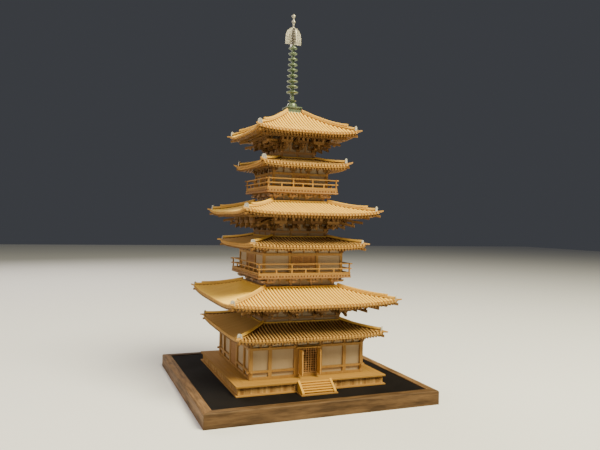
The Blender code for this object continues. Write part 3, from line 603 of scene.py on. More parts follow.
# Cuts a side's piece along both diagonals, where it meets the next side.
def trimAtHips(piece):
    for across in (1, -1):
        cutAway(piece, (0, 0, 0), (across, 1, 0))
    return piece


# Joins pieces modelled flat and raises each point by the height at its distance out and along the side.
def raisedSide(roof, heightAt, pieces):
    side = trimAtHips(joined(pieces, "side"))
    places = pointRows(side.data).astype(np.float64)
    places[:, 2] += heightAt(roof, -places[:, 1], places[:, 0])
    setPointRows(side.data, places)
    return side


# Repeats a piece across the side, with its middle on the side's middle.
def inRow(piece, pitch, count):
    row = piece.modifiers.new("Row", "ARRAY")
    row.count = count
    row.use_relative_offset = False
    row.use_constant_offset = True
    row.constant_offset_displace = (pitch, 0, 0)
    pick(piece)
    bpy.ops.object.modifier_apply(modifier=row.name)
    piece.data.transform(moved(-pitch * (count - 1) / 2, 0, 0))
    return piece


# Makes such a row with each timber on its own part of the grain.
def grainedRow(piece, pitch, count):
    mesh = inRow(piece, pitch, count).data
    number = np.round(pointRows(mesh)[:, 0] / pitch)
    shift = (number * grainShifts["row"] % grainShifts["timber"])[:, None].astype(np.float32)
    setPointRows(mesh, pointRows(mesh, grain=True) + shift, grain=True)
    return piece


def oddCount(half, pitch):  # how many fit on both sides of a middle one
    return 2 * int(half / pitch) + 1


rowShapes = {
    "main": {"radius": 0.94, "height": 0.94, "cut": -0.5},
    "pent": {"radius": 0.66, "height": 0.94, "cut": 0.05},
}
tiles = {"pitch": 3.04, "margin": 0.6, "overhang": 0.25, "sides": 10, "lengthCuts": 9}


def tileRow(roof, piece):
    return grainedRow(piece, tiles["pitch"], oddCount(roof["eave"] - tiles["margin"], tiles["pitch"]))


# The round cover tiles of one side.
def makeTileRow(roof, shape):
    radius, outer = shape["radius"], roof["eave"] + tiles["overhang"]
    length = outer - roof["top"]
    tube = cylinder(tiles["sides"], radius, length, (0, -(outer + roof["top"]) / 2, 0), lying=True)
    cutAway(tube, (0, 0, shape["cut"]), (0, 0, -1), threshold=0.0001)
    cutLength(tube, 1, length, tiles["lengthCuts"])
    tube.data.transform(Matrix.Diagonal((1, 1, shape["height"] / radius, 1)))
    return tileRow(roof, markGrain(tube, "Y"))


shadeStrips = {"wider": 0.16, "setback": 0.1, "low": -0.7, "high": 0.12, "cuts": 9}


# A dark strip under each cap of a pent roof, showing beside it: painted shade along the caps' feet.
def makeRowShadeStrips(roof):
    half = rowShapes["pent"]["radius"] + shadeStrips["wider"]
    outer = -roof["eave"] + shadeStrips["setback"]
    low, high = (-half, outer, shadeStrips["low"]), (half, -roof["top"], shadeStrips["high"])
    return tileRow(roof, timber(low, high, along="Y", cuts=shadeStrips["cuts"]))


discs = {"sides": 14, "radius": 1.1, "depth": 0.7, "proud": 0.2, "drop": 0.2, "rim": 0.22, "dish": 0.12}


# The round end of each cover tile.
def makeTileEnds(roof):
    place = (0, -(roof["eave"] + tiles["overhang"] + discs["proud"]), -discs["drop"])
    disc = cylinder(discs["sides"], discs["radius"], discs["depth"], place, lying=True)
    dishFront(disc, discs["rim"], discs["dish"])
    return tileRow(roof, markGrain(disc, "Y"))


bedSizes = {"thickness": 0.9, "drop": 0.35, "across": 40, "upwards": 10}


# The boards under the cover tiles.
def makeTileBed(roof):
    eave, top = roof["eave"], roof["top"]
    middle = (0, -(eave + top) / 2, 0)
    across, upwards = bedSizes["across"], bedSizes["upwards"]
    bpy.ops.mesh.primitive_grid_add(x_subdivisions=across, y_subdivisions=upwards, size=1, location=middle)
    bed = bpy.context.object
    bed.scale = (2 * eave, eave - top, 1)
    markGrain(setPlace(bed), "Y")
    thick = bed.modifiers.new("Board", "SOLIDIFY")
    thick.thickness = bedSizes["thickness"]
    pick(bed)
    bpy.ops.object.modifier_apply(modifier=thick.name)
    bed.data.transform(moved(0, 0, -bedSizes["drop"]))
    return bed


lipSizes = {"beyond": 0.1, "width": 1.0, "low": -1.3, "high": -0.3, "cuts": 40}


# The board along the eaves behind the discs, as deep as they are; its dark finish is painted shade between
# the discs.
def makeLip(roof):
    outer = roof["eave"] + lipSizes["beyond"]
    inner = roof["eave"] - lipSizes["width"]
    return timber((-outer, -outer, lipSizes["low"]), (outer, -inner, lipSizes["high"]), cuts=lipSizes["cuts"])


rafters = {"pitch": 2.86, "width": 1.45, "depth": 1.6, "margin": 1.6, "cuts": 3}


# A row of rafters of one side between two distances out.
def rafterRow(outer, inner, depth):
    half = rafters["width"] / 2
    one = timber((-half, -outer, 0), (half, -inner, depth), along="Y", cuts=rafters["cuts"])
    return grainedRow(one, rafters["pitch"], oddCount(outer - rafters["margin"], rafters["pitch"]))


def mitredBoard(outer, width, low, high):
    return trimAtHips(timber((-outer, -outer, low), (outer, -outer + width, high)))


eavesSizes = {
    "rowSetback": 0.5, "boardSetback": 0.8, "board": 0.5, "behindStep": 5, "beforeStep": 0.4,
    "baseDeeper": 0.2, "ceilingSetback": 0.3, "bearerOut": 0.1, "bearerWidth": 1.6, "bearerTop": 1.3,
    "edgeSetback": 0.25, "edgeWidth": 1.5, "edgeDrop": 1.2, "cuts": 24,
}


# Rafters, ceiling boards and eave boards of a roof, each raised along its own soffit.
def makeEaves(roof, kind):
    given = eavesSizes
    eave, inner, depth, board = roof["eave"], roof["inner"], rafters["depth"], given["board"]
    first, boardStart = eave - given["rowSetback"], eave - given["boardSetback"]

    def boards(half, outer, inner, low, high):
        return timber((-half, -outer, low), (half, -inner, high), cuts=given["cuts"])

    if kind == "main":
        step = eave - roof["step"]
        behind = step - given["behindStep"]
        flying = [rafterRow(first, behind, depth), boards(eave, boardStart, behind, depth, depth + board)]
        parts = [raisedSide(roof, flyingSoffit, flying)]
        thick, bearer = depth + given["baseDeeper"], step + given["bearerOut"]
        base = [
            rafterRow(step + given["beforeStep"], inner, thick),
            boards(step, step - given["ceilingSetback"], inner, thick, thick + board),
            boards(bearer, bearer, bearer - given["bearerWidth"], thick, depth + given["bearerTop"]),
        ]
        parts.append(raisedSide(roof, baseSoffit, base))
    else:
        single = [rafterRow(first, inner, depth), boards(eave, boardStart, inner, depth, depth + board)]
        parts = [raisedSide(roof, pentSoffit, single)]
    edge = eave - given["edgeSetback"]
    low, high = roof["fascia"] + depth, roof["edge"] - given["edgeDrop"]
    return parts, raisedSide(roof, liftAt, [boards(edge, edge, edge - given["edgeWidth"], low, high)])


# Sets a piece modelled along -Y on the front right hip, following the tiles and curling up at its end.
def alongHip(piece, roof, curl=None):
    places = pointRows(piece.data).astype(np.float64)
    half = -places[:, 1].copy()
    across = places[:, 0].copy()
    places[:, 2] += tileHeight(roof, np.minimum(half, roof["eave"]), half)
    if curl:
        start, end, rise = curl
        places[:, 2] += rise * np.clip((half - start) / (end - start), 0, 1.2) ** 5
    places[:, 0] = half + across / diagonal
    places[:, 1] = -half + across / diagonal
    setPointRows(piece.data, places)
    return piece


ridgeSizes = {
    "cuts": 12, "coreHalf": 0.4, "coreDrop": 0.5, "coreUp": 0.1,
    "capUp": 0.15, "capLonger": 0.25, "capSides": 12,
    "lowCourses": ((2.9, 0.45), (2.3, 0.45)), "lowCap": 0.7,
    "highCourses": ((2.2, 0.5), (1.8, 0.45)), "highCap": 0.65,
    "start": 0.4, "low": {"main": 1.05, "pent": 1.6}, "high": 2.2,
    "baseHalf": 1.4, "baseSetback": 0.8, "baseLow": -0.9, "baseTop": 0.3,
    "footUp": 0.6, "footOut": 1.5, "footWidth": 1.9, "footHeight": 0.9, "openTop": 10,
    "shieldOut": 0.4, "shieldDrop": 3.2,
}


# A hip ridge of stepped courses with a round cap, which curls up to its end height.
def ridgeStack(roof, end, endHeight, low, courses, capRadius):
    given = ridgeSizes
    start = roof["top"] + given["start"]

    def course(half, bottom, top):
        return timber((-half, -end, bottom), (half, -start, top), along="Y", cuts=given["cuts"])

    parts = [course(given["coreHalf"], low - given["coreDrop"], low + given["coreUp"])]
    height = low
    for width, depth in courses:
        parts.append(course(width / 2, height, height + depth))
        height += depth
    height += given["capUp"]
    capEnd = end + given["capLonger"]
    place = (0, -(start + capEnd) / 2, height)
    cap = cylinder(given["capSides"], capRadius, capEnd - start, place, lying=True)
    cutLength(cap, 1, capEnd - start, given["cuts"])
    parts.append(markGrain(cap, "Y"))
    rise = endHeight - (float(tileHeight(roof, end, end)) + height + capRadius)
    return alongHip(joined(parts, "ridge"), roof, (start, end, max(rise, 0.0)))


shieldSizes = {
    "main": (3.7, 4.6), "pent": (3.9, 4.7), "thickness": 0.7, "rounding": 0.42, "rim": 0.3, "dish": 0.2,
    "footWider": 1.25, "boss": 0.5, "bossOut": 0.25, "bossUp": 0.45, "bossSegments": 10, "bossRings": 6,
}


# The upright tile that closes a ridge's end: an arched plate with a raised rim and a boss.
def shieldTile(width, height):
    given = shieldSizes
    thick = given["thickness"]
    plate = box((-width / 2, -thick / 2, 0), (width / 2, thick / 2, height))
    bevelEdges(
        plate, lambda a, b: atHeight(height, a, b) and abs(a.y - b.y) > 0.3, width * given["rounding"], 4,
    )
    dishFront(plate, given["rim"], given["dish"])
    for vert in plate.data.vertices:
        if vert.co.z < 0.1:
            vert.co.x *= given["footWider"]
    place = (0, -given["bossOut"], height * given["bossUp"])
    bpy.ops.mesh.primitive_uv_sphere_add(
        segments=given["bossSegments"], ring_count=given["bossRings"], radius=given["boss"], location=place,
    )
    boss = setPlace(bpy.context.object)
    return markGrain(joined([plate, boss], "shield"), "Z")


prowSizes = {
    "half": 1.7, "depth": 2.0, "cuts": 8, "bevel": 0.1, "narrowing": 0.62, "thinning": 0.45, "tipDepth": 1.1,
    "curl": 1.4, "length": 9.0, "neck": 1.5, "drop": 1.0,
}


# The corner's last tile, which narrows and rises to its tip.
def prowTile(roof):
    given = prowSizes
    start, neck = roof["eave"] - given["length"], roof["eave"] - given["neck"]
    end, tip = roof["tip"]
    low = float(tileHeight(roof, roof["eave"], roof["eave"])) - given["drop"]
    foot, top = (-given["half"], -end * diagonal, 0), (given["half"], -start * diagonal, given["depth"])
    tile = timber(foot, top, along="Y", cuts=given["cuts"], bevel=given["bevel"])
    rise = tip - low - given["tipDepth"]
    for vert in tile.data.vertices:
        share = min(max((-vert.co.y / diagonal - neck) / (end - neck), 0.0), 1.0)
        vert.co.x *= 1 - given["narrowing"] * share
        vert.co.z = low + vert.co.z * (1 - given["thinning"] * share) + rise * share ** given["curl"]
    tile.data.transform(turned(45))
    return tile


hipBeams = (
    {"width": 1.8, "up": 0.1, "setback": 0.3, "depth": 2.1},
    {"width": 1.7, "up": -2.0, "setback": 7.5, "depth": 2.0},
)
hipBeamSizes = {"drop": 1.2, "beyond": 8, "bevel": 0.12}


# A corner rafter under the hip: pent roofs have the upper one only.
def cornerRafter(roof, kind, beam):
    half, height = roof["rafter"]
    end = (half - beam["setback"]) * diagonal
    inner = (roof["eave"] - prowSizes["length"]) * diagonal - hipBeamSizes["beyond"]
    wide = beam["width"] / 2
    made = timber((-wide, -end, 0), (wide, -inner, beam["depth"]), along="Y", bevel=hipBeamSizes["bevel"])
    slope = slopes["flying" if kind == "main" else "pentHip"] / diagonal
    for vert in made.data.vertices:
        vert.co.z += height - hipBeamSizes["drop"] + beam["up"] + (end + vert.co.y) * slope
    made.data.transform(turned(45))
    return made


def makeRoof(roof, number, kind):
    node = f"{kind}_roof_{number}"
    main = kind == "main"
    given = ridgeSizes
    # Pent roofs take the shaded tile finish and the near-black bed: painted shade under the main roofs above.
    tileFinish, bedFinish = (tileWood, bedWood) if main else (shadedPentTileWood, shadeFillWood)

    def finishRoof(pieces, name, finish, smooth=0.0):
        finishPiece(aroundTower(pieces, f"{node}_{name}"), finish, (node,), smooth=smooth)

    rows = raisedSide(roof, tileHeight, [makeTileRow(roof, rowShapes[kind])])
    finishRoof([rows], "tiles", tileFinish, smooth=50)
    prow = prowTile(roof)
    cornerRafters = [cornerRafter(roof, kind, beam) for beam in (hipBeams if main else hipBeams[:1])]
    eaves, edgeBoard = makeEaves(roof, kind)
    ends = raisedSide(roof, tileHeight, [makeTileEnds(roof)])
    finishRoof([ends, edgeBoard, prow], "tile_ends", shadedEndWood, smooth=50)
    bed = [makeTileBed(roof)] + ([] if main else [makeRowShadeStrips(roof)])
    finishRoof([raisedSide(roof, tileHeight, bed)], "tile_bed", bedFinish, smooth=50)
    finishRoof(eaves + cornerRafters, "rafters", shadedEavesWood)

    end, endHeight = roof["low"]
    low = given["low"][kind]
    ridges = [ridgeStack(roof, end, endHeight, low, given["lowCourses"], given["lowCap"])]
    # A dark strip along the foot of each low ridge, joined with the lip: painted shade under the ridges and
    # between the tile ends.
    foot = (-given["baseHalf"], -end + given["baseSetback"], given["baseLow"])
    top = (given["baseHalf"], -roof["top"] - given["start"], low - given["baseTop"])
    base = timber(foot, top, along="Y", cuts=given["cuts"])
    lip = raisedSide(roof, tileHeight, [makeLip(roof)])
    finishRoof([alongHip(base, roof), lip], "shade_underlay", bedFinish)
    if main:
        ridges.append(ridgeStack(roof, *roof["high"], given["high"], given["highCourses"], given["highCap"]))
    if roof["top"] > given["openTop"]:  # the next storey stands inside this roof's foot board
        foot = roof["topHeight"] + given["footUp"]
        outer = roof["top"] + given["footOut"]
        ridges.append(mitredBoard(outer, given["footWidth"], foot, foot + given["footHeight"]))
    finishRoof(ridges, "hips", ridgeWood, smooth=35)
    shield = shieldTile(*shieldSizes[kind])
    half = end + given["shieldOut"]
    shield.data.transform(moved(half, -half, endHeight - given["shieldDrop"]) @ turned(45))
    finishRoof([shield], "end_tiles", shieldPaint, smooth=35)
    print("roof", kind, number)


for number, roof in enumerate(pentRoofs, 1):
    makeRoof(roof, number, "pent")
for number, roof in enumerate(mainRoofs, 1):
    makeRoof(roof, number, "main")


# Timbers that the bracket sets share

armShape = {"rounding": 0.62, "segments": 3}
blockShape = {"waist": 0.45, "foot": 0.68}
columnShape = {"sides": 14, "rounding": 0.25}
strutBlock = 1.1


def roundedArm(low, high, along):  # an arm whose lower ends are cut round
    arm = timber(low, high, along)
    axis, floor, height = "XYZ".index(along), low[2], high[2] - low[2]
    bevelEdges(
        arm, lambda a, b: atHeight(floor, a, b) and abs(a[axis] - b[axis]) < 0.01,
        height * armShape["rounding"], armShape["segments"],
    )
    return arm


def lateralArm(out, low, high, half, thick):
    return roundedArm((-half, -out - thick / 2, low), (half, -out + thick / 2, high), "X")


def outwardArm(start, end, low, high, thick):
    return roundedArm((-thick / 2, -end, low), (thick / 2, -start, high), "Y")


def bearingBlock(x, out, half, low, high):  # a block whose lower half draws in to its foot
    waist = low + blockShape["waist"] * (high - low)
    block = timber((x - half, -out - half, waist), (x + half, -out + half, high))
    share = blockShape["foot"]

    def drawIn():
        bpy.ops.mesh.extrude_region_move(TRANSFORM_OT_translate={"value": (0, 0, low - waist)})
        bpy.ops.transform.resize(value=(share, share, 1), center_override=(x, -out, low))

    editWith(block, "FACE", lambda normal: normal.z < -0.9, drawIn)
    return block


def blockRow(places, out, half, low, high):
    return [bearingBlock(place, out, half, low, high) for place in places]


def roundColumn(x, out, radius, low, high):
    column = cylinder(columnShape["sides"], radius, high - low, (x, -out, (low + high) / 2))
    bevelEdges(column, lambda a, b: atHeight(high, a, b), radius * columnShape["rounding"], 2)
    return markGrain(column, "Z")


def strutWithBlock(x, half, back, depth, blockOut, heights):  # a strut between two sets, and the block on it
    foot, neck, top = heights
    strut = timber((x - half, -back - depth, foot), (x + half, -back, neck), along="Z")
    return [strut, bearingBlock(x, blockOut, strutBlock, neck, top)]


def ontoDiagonal(piece):  # turns a piece that reaches out over the front so that it reaches over the corner
    piece.data.transform(turned(45) @ Matrix.Diagonal((1, diagonal, 1, 1)))
    return piece


# Bracket sets under the main roofs: three steps of arms and blocks, with a slanting tail under the purlin

bracketTiers = (
    dict(
        core=36.15, columns=(11.8, 34.7), low=70.0, purlin=54.5, tail=(56.0, 71.3),
        cornerTails=((55.9, 73.9, 0.32), (63.6, 77.4, 0.2)), size=1.0, wallFrom=62.0,
    ),
    dict(
        core=26.5, columns=(8.6, 25.0), low=146.5, purlin=45.0, tail=(46.5, 148.2),
        cornerTails=((46.1, 150.5, 0.32), (51.6, 153.7, 0.2)), size=0.92, wallFrom=138.0,
    ),
    dict(
        core=16.9, columns=(0.0, 15.4), low=219.5, purlin=31.0, tail=(32.2, 221.6),
        cornerTails=((28.4, 223.6, 0.32), (35.3, 225.3, 0.2)), size=0.86, wallFrom=210.5,
    ),
)
bracketSizes = {
    "armThickness": 2.0, "armHeight": 2.5, "armHalf": 6.3, "armShares": (0.26, 0.62),
    "blockHalf": 1.25, "blockSpread": 5.0, "blockHeight": 1.8, "baseHalf": 2.2, "baseHeight": 3.4,
    "setOut": 0.6, "baseOut": 0.4, "firstReach": 1.5, "secondReach": 1.0,
    "tailSlope": 0.34, "tailDepth": 2.3, "tailThickness": 2.0, "cornerTailWider": 1.15,
    "purlinDepth": 2.0, "purlinGap": 0.1, "firstLevel": 2.2, "levelRise": 4.2, "beamWidth": 1.7,
    "beamOut": 1.0,
    "cornerBlock": 1.9, "cornerBlockFoot": 4.6, "tailBlockUp": 2.2,
}


def slantingTail(end, bottom, start, slope, thickness):
    foot, top = (-thickness / 2, -end, 0), (thickness / 2, -start, bracketSizes["tailDepth"])
    tail = timber(foot, top, along="Y")
    for vert in tail.data.vertices:
        vert.co.z += bottom + (end + vert.co.y) * slope
    return tail


def bracketSet(tier, roof):
    size, given = tier["size"], bracketSizes
    core, low, purlin = tier["core"], tier["low"], tier["purlin"]
    tailEnd, tailBottom = tier["tail"]
    first = core + given["setOut"]
    steps = [first + (purlin - first) * share for share in (0, 1 / 3, 2 / 3, 1)]
    thick, height, armHalf = given["armThickness"] * size, given["armHeight"], given["armHalf"] * size
    block, lift = given["blockHalf"] * size, given["blockHeight"]
    spread = [side * given["blockSpread"] * size for side in (-1, 0, 1)]
    baseTop = low + given["baseHeight"]
    parts = [bearingBlock(0, core + given["baseOut"], given["baseHalf"] * size, low, baseTop)]
    for level, reach in enumerate((steps[1] + given["firstReach"], steps[2] - given["secondReach"])):
        bottom = low + given["firstLevel"] + level * given["levelRise"]
        top = bottom + height
        parts.append(outwardArm(core, reach, bottom, top, thick))
        parts.append(lateralArm(steps[0], bottom, top, armHalf, thick))
        parts += blockRow(spread[::2], steps[0], block, top, top + lift)
        parts.append(bearingBlock(0, steps[1 + level] - level, block, top, top + lift))
    parts.append(lateralArm(steps[1], bottom, top, armHalf, thick))
    parts += blockRow(spread[::2], steps[1], block, top, top + lift)
    for out in steps[2:]:  # an arm on a block, with three blocks under the beam above it
        tailTop = tailBottom + (tailEnd - out) * given["tailSlope"] + given["tailDepth"] - given["purlinGap"]
        beamLow = baseSoffit(roof, out + given["beamOut"], 0.0) - given["purlinGap"] - given["purlinDepth"]
        armLow, armTop = (tailTop + share * (beamLow - tailTop) for share in given["armShares"])
        parts.append(bearingBlock(0, out, block, tailTop, armLow))
        parts.append(lateralArm(out, armLow, armTop, armHalf, thick))
        parts += blockRow(spread, out, block, armTop, beamLow)
    parts.append(slantingTail(tailEnd, tailBottom, core, given["tailSlope"], given["tailThickness"] * size))
    return joined(parts, "bracketSet"), steps


def cornerSet(tier, steps):  # the arms, blocks and doubled tails that reach over the corner
    size, given = tier["size"], bracketSizes
    core, low = tier["core"], tier["low"]
    parts = []
    for level in (0, 1):
        bottom = low + given["firstLevel"] + level * given["levelRise"]
        top = bottom + given["armHeight"]
        parts.append(outwardArm(core, steps[1 + level], bottom, top, given["armThickness"] * size))
    for end, bottom, slope in tier["cornerTails"]:
        thick = given["tailThickness"] * size * given["cornerTailWider"]
        parts.append(slantingTail(end, bottom, core, slope, thick))
    parts = [ontoDiagonal(piece) for piece in parts]
    lowEnd, lowBottom, slope = tier["cornerTails"][0]
    lastFoot = lowBottom + (lowEnd - steps[3]) * slope + given["tailBlockUp"]
    for out, foot in ((steps[1], low + given["cornerBlockFoot"]), (steps[3], lastFoot)):
        block = bearingBlock(0, 0, given["blockHalf"] * size, foot, foot + given["cornerBlock"])
        block.data.transform(moved(out, -out, 0) @ turned(45))
        parts.append(block)
    return parts


def makeBrackets(number, tier, roof):
    one, steps = bracketSet(tier, roof)
    front = repeatedAt(bothSides(tier["columns"]), [one])
    width = bracketSizes["beamWidth"]
    for out in steps[1:]:
        top = baseSoffit(roof, out + width / 2, 0.0) - bracketSizes["purlinGap"]
        front.append(mitredBoard(out + width / 2, width, top - bracketSizes["purlinDepth"], top))
    sets = aroundTower(front + cornerSet(tier, steps), f"bracket_arms_{number}")
    finishPiece(sets, amberWood, (f"bracket_sets_{number}",))


# The inner tower's face between the roofs: white panels, round columns and a beam under the bracket sets

coreSizes = {
    "columnRadius": 1.35, "beamDepth": 1.9, "beamWidth": 1.2, "panelProud": 0.35, "panelBehind": 0.05,
    "sill": 3.9, "capOut": 0.3, "capDepth": 0.5, "capUp": 0.1, "strutHalf": 0.6, "strutDepth": 0.9,
    "strut": 6.0, "blockOut": 0.6, "block": 1.8,
}


def makeCoreFace(number, tier, roof):
    given, core, low, foot = coreSizes, tier["core"], tier["low"], tier["wallFrom"]
    proud, width = given["panelProud"], given["beamWidth"]
    panel = mitredBoard(core + proud, proud - given["panelBehind"], foot, baseSoffit(roof, core, 0.0))
    markGrain(panel, "Z")
    finishPiece(aroundTower([panel], f"tower_panels_{number}"), panelShadeDim)
    front = [
        mitredBoard(core + width, width, low - given["beamDepth"], low),
        mitredBoard(core + width + given["capOut"], width, low - given["capDepth"], low + given["capUp"]),
        mitredBoard(core + width, width, foot, foot + given["sill"]),
    ]
    places = sorted(set(bothSides(tier["columns"])))
    for place in places:
        front.append(roundColumn(place, core, given["columnRadius"] * tier["size"], foot, low))
    heights = (low, low + given["strut"], low + given["strut"] + given["block"])
    for middle in middlesBetween(places):
        front += strutWithBlock(
            middle, given["strutHalf"], core, given["strutDepth"], core + given["blockOut"], heights,
        )
    columns = aroundTower(front, f"tower_columns_{number}")
    finishPiece(columns, joistWood, smooth=40)


for number, (tier, roof) in enumerate(zip(bracketTiers, mainRoofs), 1):
    makeBrackets(number, tier, roof)
    makeCoreFace(number, tier, roof)
print("bracket sets made")


# Arms, blocks and struts between a wall's head beam and the eaves' purlin

wallArms = (
    dict(storey="ground", face=53.5, posts=(11.8, 35.0, 52.0), beamTop=47.2, purlin=(53.1, 55.1), half=4.4),
    dict(storey="storey_2", face=38.3, posts=(13.0, 37.0), beamTop=126.8, purlin=(131.5, 133.3), half=4.2),
    dict(storey="storey_3", face=27.1, posts=(7.4, 25.8), beamTop=199.4, purlin=(204.4, 206.2), half=3.4),
)
wallArmSizes = {
    "thickness": 1.7, "proud": 0.45, "shares": (0.36, 0.74), "blockHalf": 1.45, "upperHalf": 0.9,
    "endBlock": 1.0, "strutHalf": 0.55, "strutDepth": 1.0, "strutDrop": 0.6,
}


def makeWallArms(wall):
    given, face, half = wallArmSizes, wall["face"], wall["half"]
    low, (purlinLow, purlinTop) = wall["beamTop"], wall["purlin"]
    out = face - given["thickness"] / 2 + given["proud"]
    blockTop, armTop = (low + share * (purlinLow - low) for share in given["shares"])
    reach = half - given["endBlock"]
    front = []
    posts = sorted(bothSides(wall["posts"]))
    for place in posts:
        front.append(bearingBlock(place, out, given["blockHalf"], low, blockTop))
        arm = lateralArm(out, blockTop, armTop, half, given["thickness"])
        arm.data.transform(moved(place, 0, 0))
        front.append(arm)
        front += blockRow((place - reach, place, place + reach), out, given["upperHalf"], armTop, purlinLow)
    back, depth = face - given["strutDepth"], given["strutDepth"]
    heights = (low, armTop - given["strutDrop"], purlinLow)
    for middle in middlesBetween(posts):
        front += strutWithBlock(middle, given["strutHalf"], back, depth, out, heights)
    front.append(mitredBoard(face + given["proud"], given["thickness"], purlinLow, purlinTop))
    arms = aroundTower(front, f"{wall['storey']}_arms")
    finishPiece(arms, amberWood)


for wall in wallArms:
    makeWallArms(wall)
print("wall arms made")


# Balconies: panels, arms and joists that carry each floor

balconies = (
    dict(storey="storey_2", foot=33.2, low=95.9, half=44.1, floorLow=106.9, columns=(10.0, 31.0)),
    dict(storey="storey_3", foot=25.0, low=173.0, half=34.1, floorLow=183.2, columns=(7.4, 23.0)),
)
balconySizes = {
    "joistPitch": 2.9, "joistWidth": 1.55, "joistDepth": 1.15, "joistOut": 0.45, "joistUp": 0.5,
    "joistMargin": 1.5, "joistInner": 1.0, "beamDepth": 1.8, "beamWidth": 1.7, "edgeSetback": 5.6,
    "edgeBeam": (0.35, 1.3, 0.95, 0.1),
    "plate": 1.6, "plateWidth": 2.0, "wallBeam": (0.1, 1.6), "wallSetback": 0.9, "panel": 0.5,
    "shares": (0.3, 0.48, 0.78), "armThickness": 2.3, "armHalf": 3.9, "armBeyond": 1.6,
    "columnRadius": 1.5, "baseHalf": 1.7, "blockHalf": 1.05, "endBlock": 1.1,
    "strutHalf": 0.5, "strutDepth": 0.6, "strutDrop": 1.2, "blockOut": 0.2,
    "cornerStart": 3.0, "cornerBeyond": 0.8, "cornerLow": 0.05, "cornerUp": 0.2,
    "gapOut": 0.08, "gapWidth": 0.5, "gapDrop": 0.05,
}


def makeBalcony(balcony):
    given = balconySizes
    storey, foot, low, half, floorLow, columns = balcony.values()

    def finishAround(pieces, name, finish, smooth=0.0):
        made = aroundTower(pieces, f"{storey}_{name}")
        finishPiece(made, finish, (f"{storey}_balcony_brackets",), smooth=smooth)

    edge = half - given["edgeSetback"]
    joistLow, joistTop = floorLow - given["joistDepth"], floorLow + given["joistUp"]
    beamLow = joistLow - given["beamDepth"]
    width, reach = given["beamWidth"], given["joistWidth"] / 2
    outer, inner = -half - given["joistOut"], given["joistInner"] - foot
    joist = timber((-reach, outer, joistLow), (reach, inner, joistTop), along="Y")
    count = oddCount(half - given["joistMargin"], given["joistPitch"])
    out, thick, drop, up = given["edgeBeam"]
    finishAround([
        trimAtHips(grainedRow(joist, given["joistPitch"], count)),
        mitredBoard(edge + width / 2, width, beamLow, joistLow),
        mitredBoard(half + out, thick, joistLow - drop, joistLow + up),
    ], "balcony_joists", joistWood)
    plateTop = low + given["plate"]
    setback, thick = given["wallBeam"]
    front = [
        mitredBoard(foot, given["plateWidth"], low, plateTop),
        mitredBoard(foot - setback, thick, beamLow, joistLow),
    ]
    postTop, armLow, armTop = (plateTop + share * (beamLow - plateTop) for share in given["shares"])
    thick, wall, armHalf = given["armThickness"], foot - given["wallSetback"], given["armHalf"]
    spread = armHalf - given["endBlock"]
    for place in bothSides(columns):
        front.append(roundColumn(place, wall, given["columnRadius"], plateTop, postTop))
        front.append(bearingBlock(place, wall, given["baseHalf"], postTop, armLow))
        arms = [outwardArm(wall, edge + given["armBeyond"], armLow, armTop, thick)]
        for across in (wall, edge):
            arms.append(lateralArm(across, armLow, armTop, armHalf, thick))
            arms += blockRow((-spread, 0, spread), across, given["blockHalf"], armTop, beamLow)
        front += repeatedAt([place], arms)
    heights = (plateTop, armTop - given["strutDrop"], beamLow)
    for middle in middlesBetween(sorted(bothSides(columns))):
        front += strutWithBlock(
            middle, given["strutHalf"], wall, given["strutDepth"], wall + given["blockOut"], heights,
        )
    start, end = foot - given["cornerStart"], edge + given["cornerBeyond"]
    corner = outwardArm(start, end, armLow + given["cornerLow"], armTop + given["cornerUp"], thick)
    finishAround(front + [ontoDiagonal(corner)], "balcony_arms", litArmWood, smooth=40)
    # A dark strip behind the joist ends: painted shade in the gaps between them.
    gaps = mitredBoard(half + given["gapOut"], given["gapWidth"], joistLow, joistTop - given["gapDrop"])
    finishAround([gaps], "joist_shade_gaps", shadeFillWood)
    panel = mitredBoard(wall, given["panel"], low, joistLow)
    finishAround([markGrain(panel, "Z")], "balcony_panels", panelShade)


for balcony in balconies:
    makeBalcony(balcony)
print("balconies made")


# Plank doors, closed and open, and the white panels of the upper walls

doorSizes = {
    "plank": 2.1, "groove": 0.12, "thickness": 0.8, "bevel": 0.06, "seam": 0.15,
    "batten": 1.1, "battenProud": 0.3, "battenShares": (0.12, 0.88), "half": 9.0, "face": 53.0,
}
lintel = {"low": (-11.6, -55.4, 44.9), "high": (11.6, -53.4, 46.3), "bevel": 0.1}


def plankRow(width, groove, front, depth, low, high, count, bevel=0.0):
    half = (width - groove) / 2
    plank = timber((-half, front, low), (half, front + depth, high), along="Z", bevel=bevel)
    return grainedRow(plank, width, count)


def plankLeaf(width, low, high, face):  # planks and two battens, from x = 0 to the leaf's width, facing -Y
    given = doorSizes
    count = max(2, round(width / given["plank"]))
    thick, end, reach = given["thickness"], given["seam"], given["batten"] / 2
    planks = plankRow(width / count, given["groove"], -face, thick, low, high, count, given["bevel"])
    planks.data.transform(moved(width / 2, 0, 0))
    back = -face + thick
    parts = [planks]
    for share in given["battenShares"]:
        middle = low + share * (high - low)
        foot, top = (end, back, middle - reach), (width - end, back + given["battenProud"], middle + reach)
        parts.append(timber(foot, top))
    return joined(parts, "leaf")


def closedDoors(half, low, high, face):
    left = plankLeaf(half - doorSizes["seam"], low, high, face)
    right = copyOf(left, moved(doorSizes["seam"], 0, 0))
    left.data.transform(moved(-half, 0, 0))
    return [left, right]


def boxOf(node):  # a node's lowest and highest corners in millimetres
    return [Vector(corner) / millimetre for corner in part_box(node)]


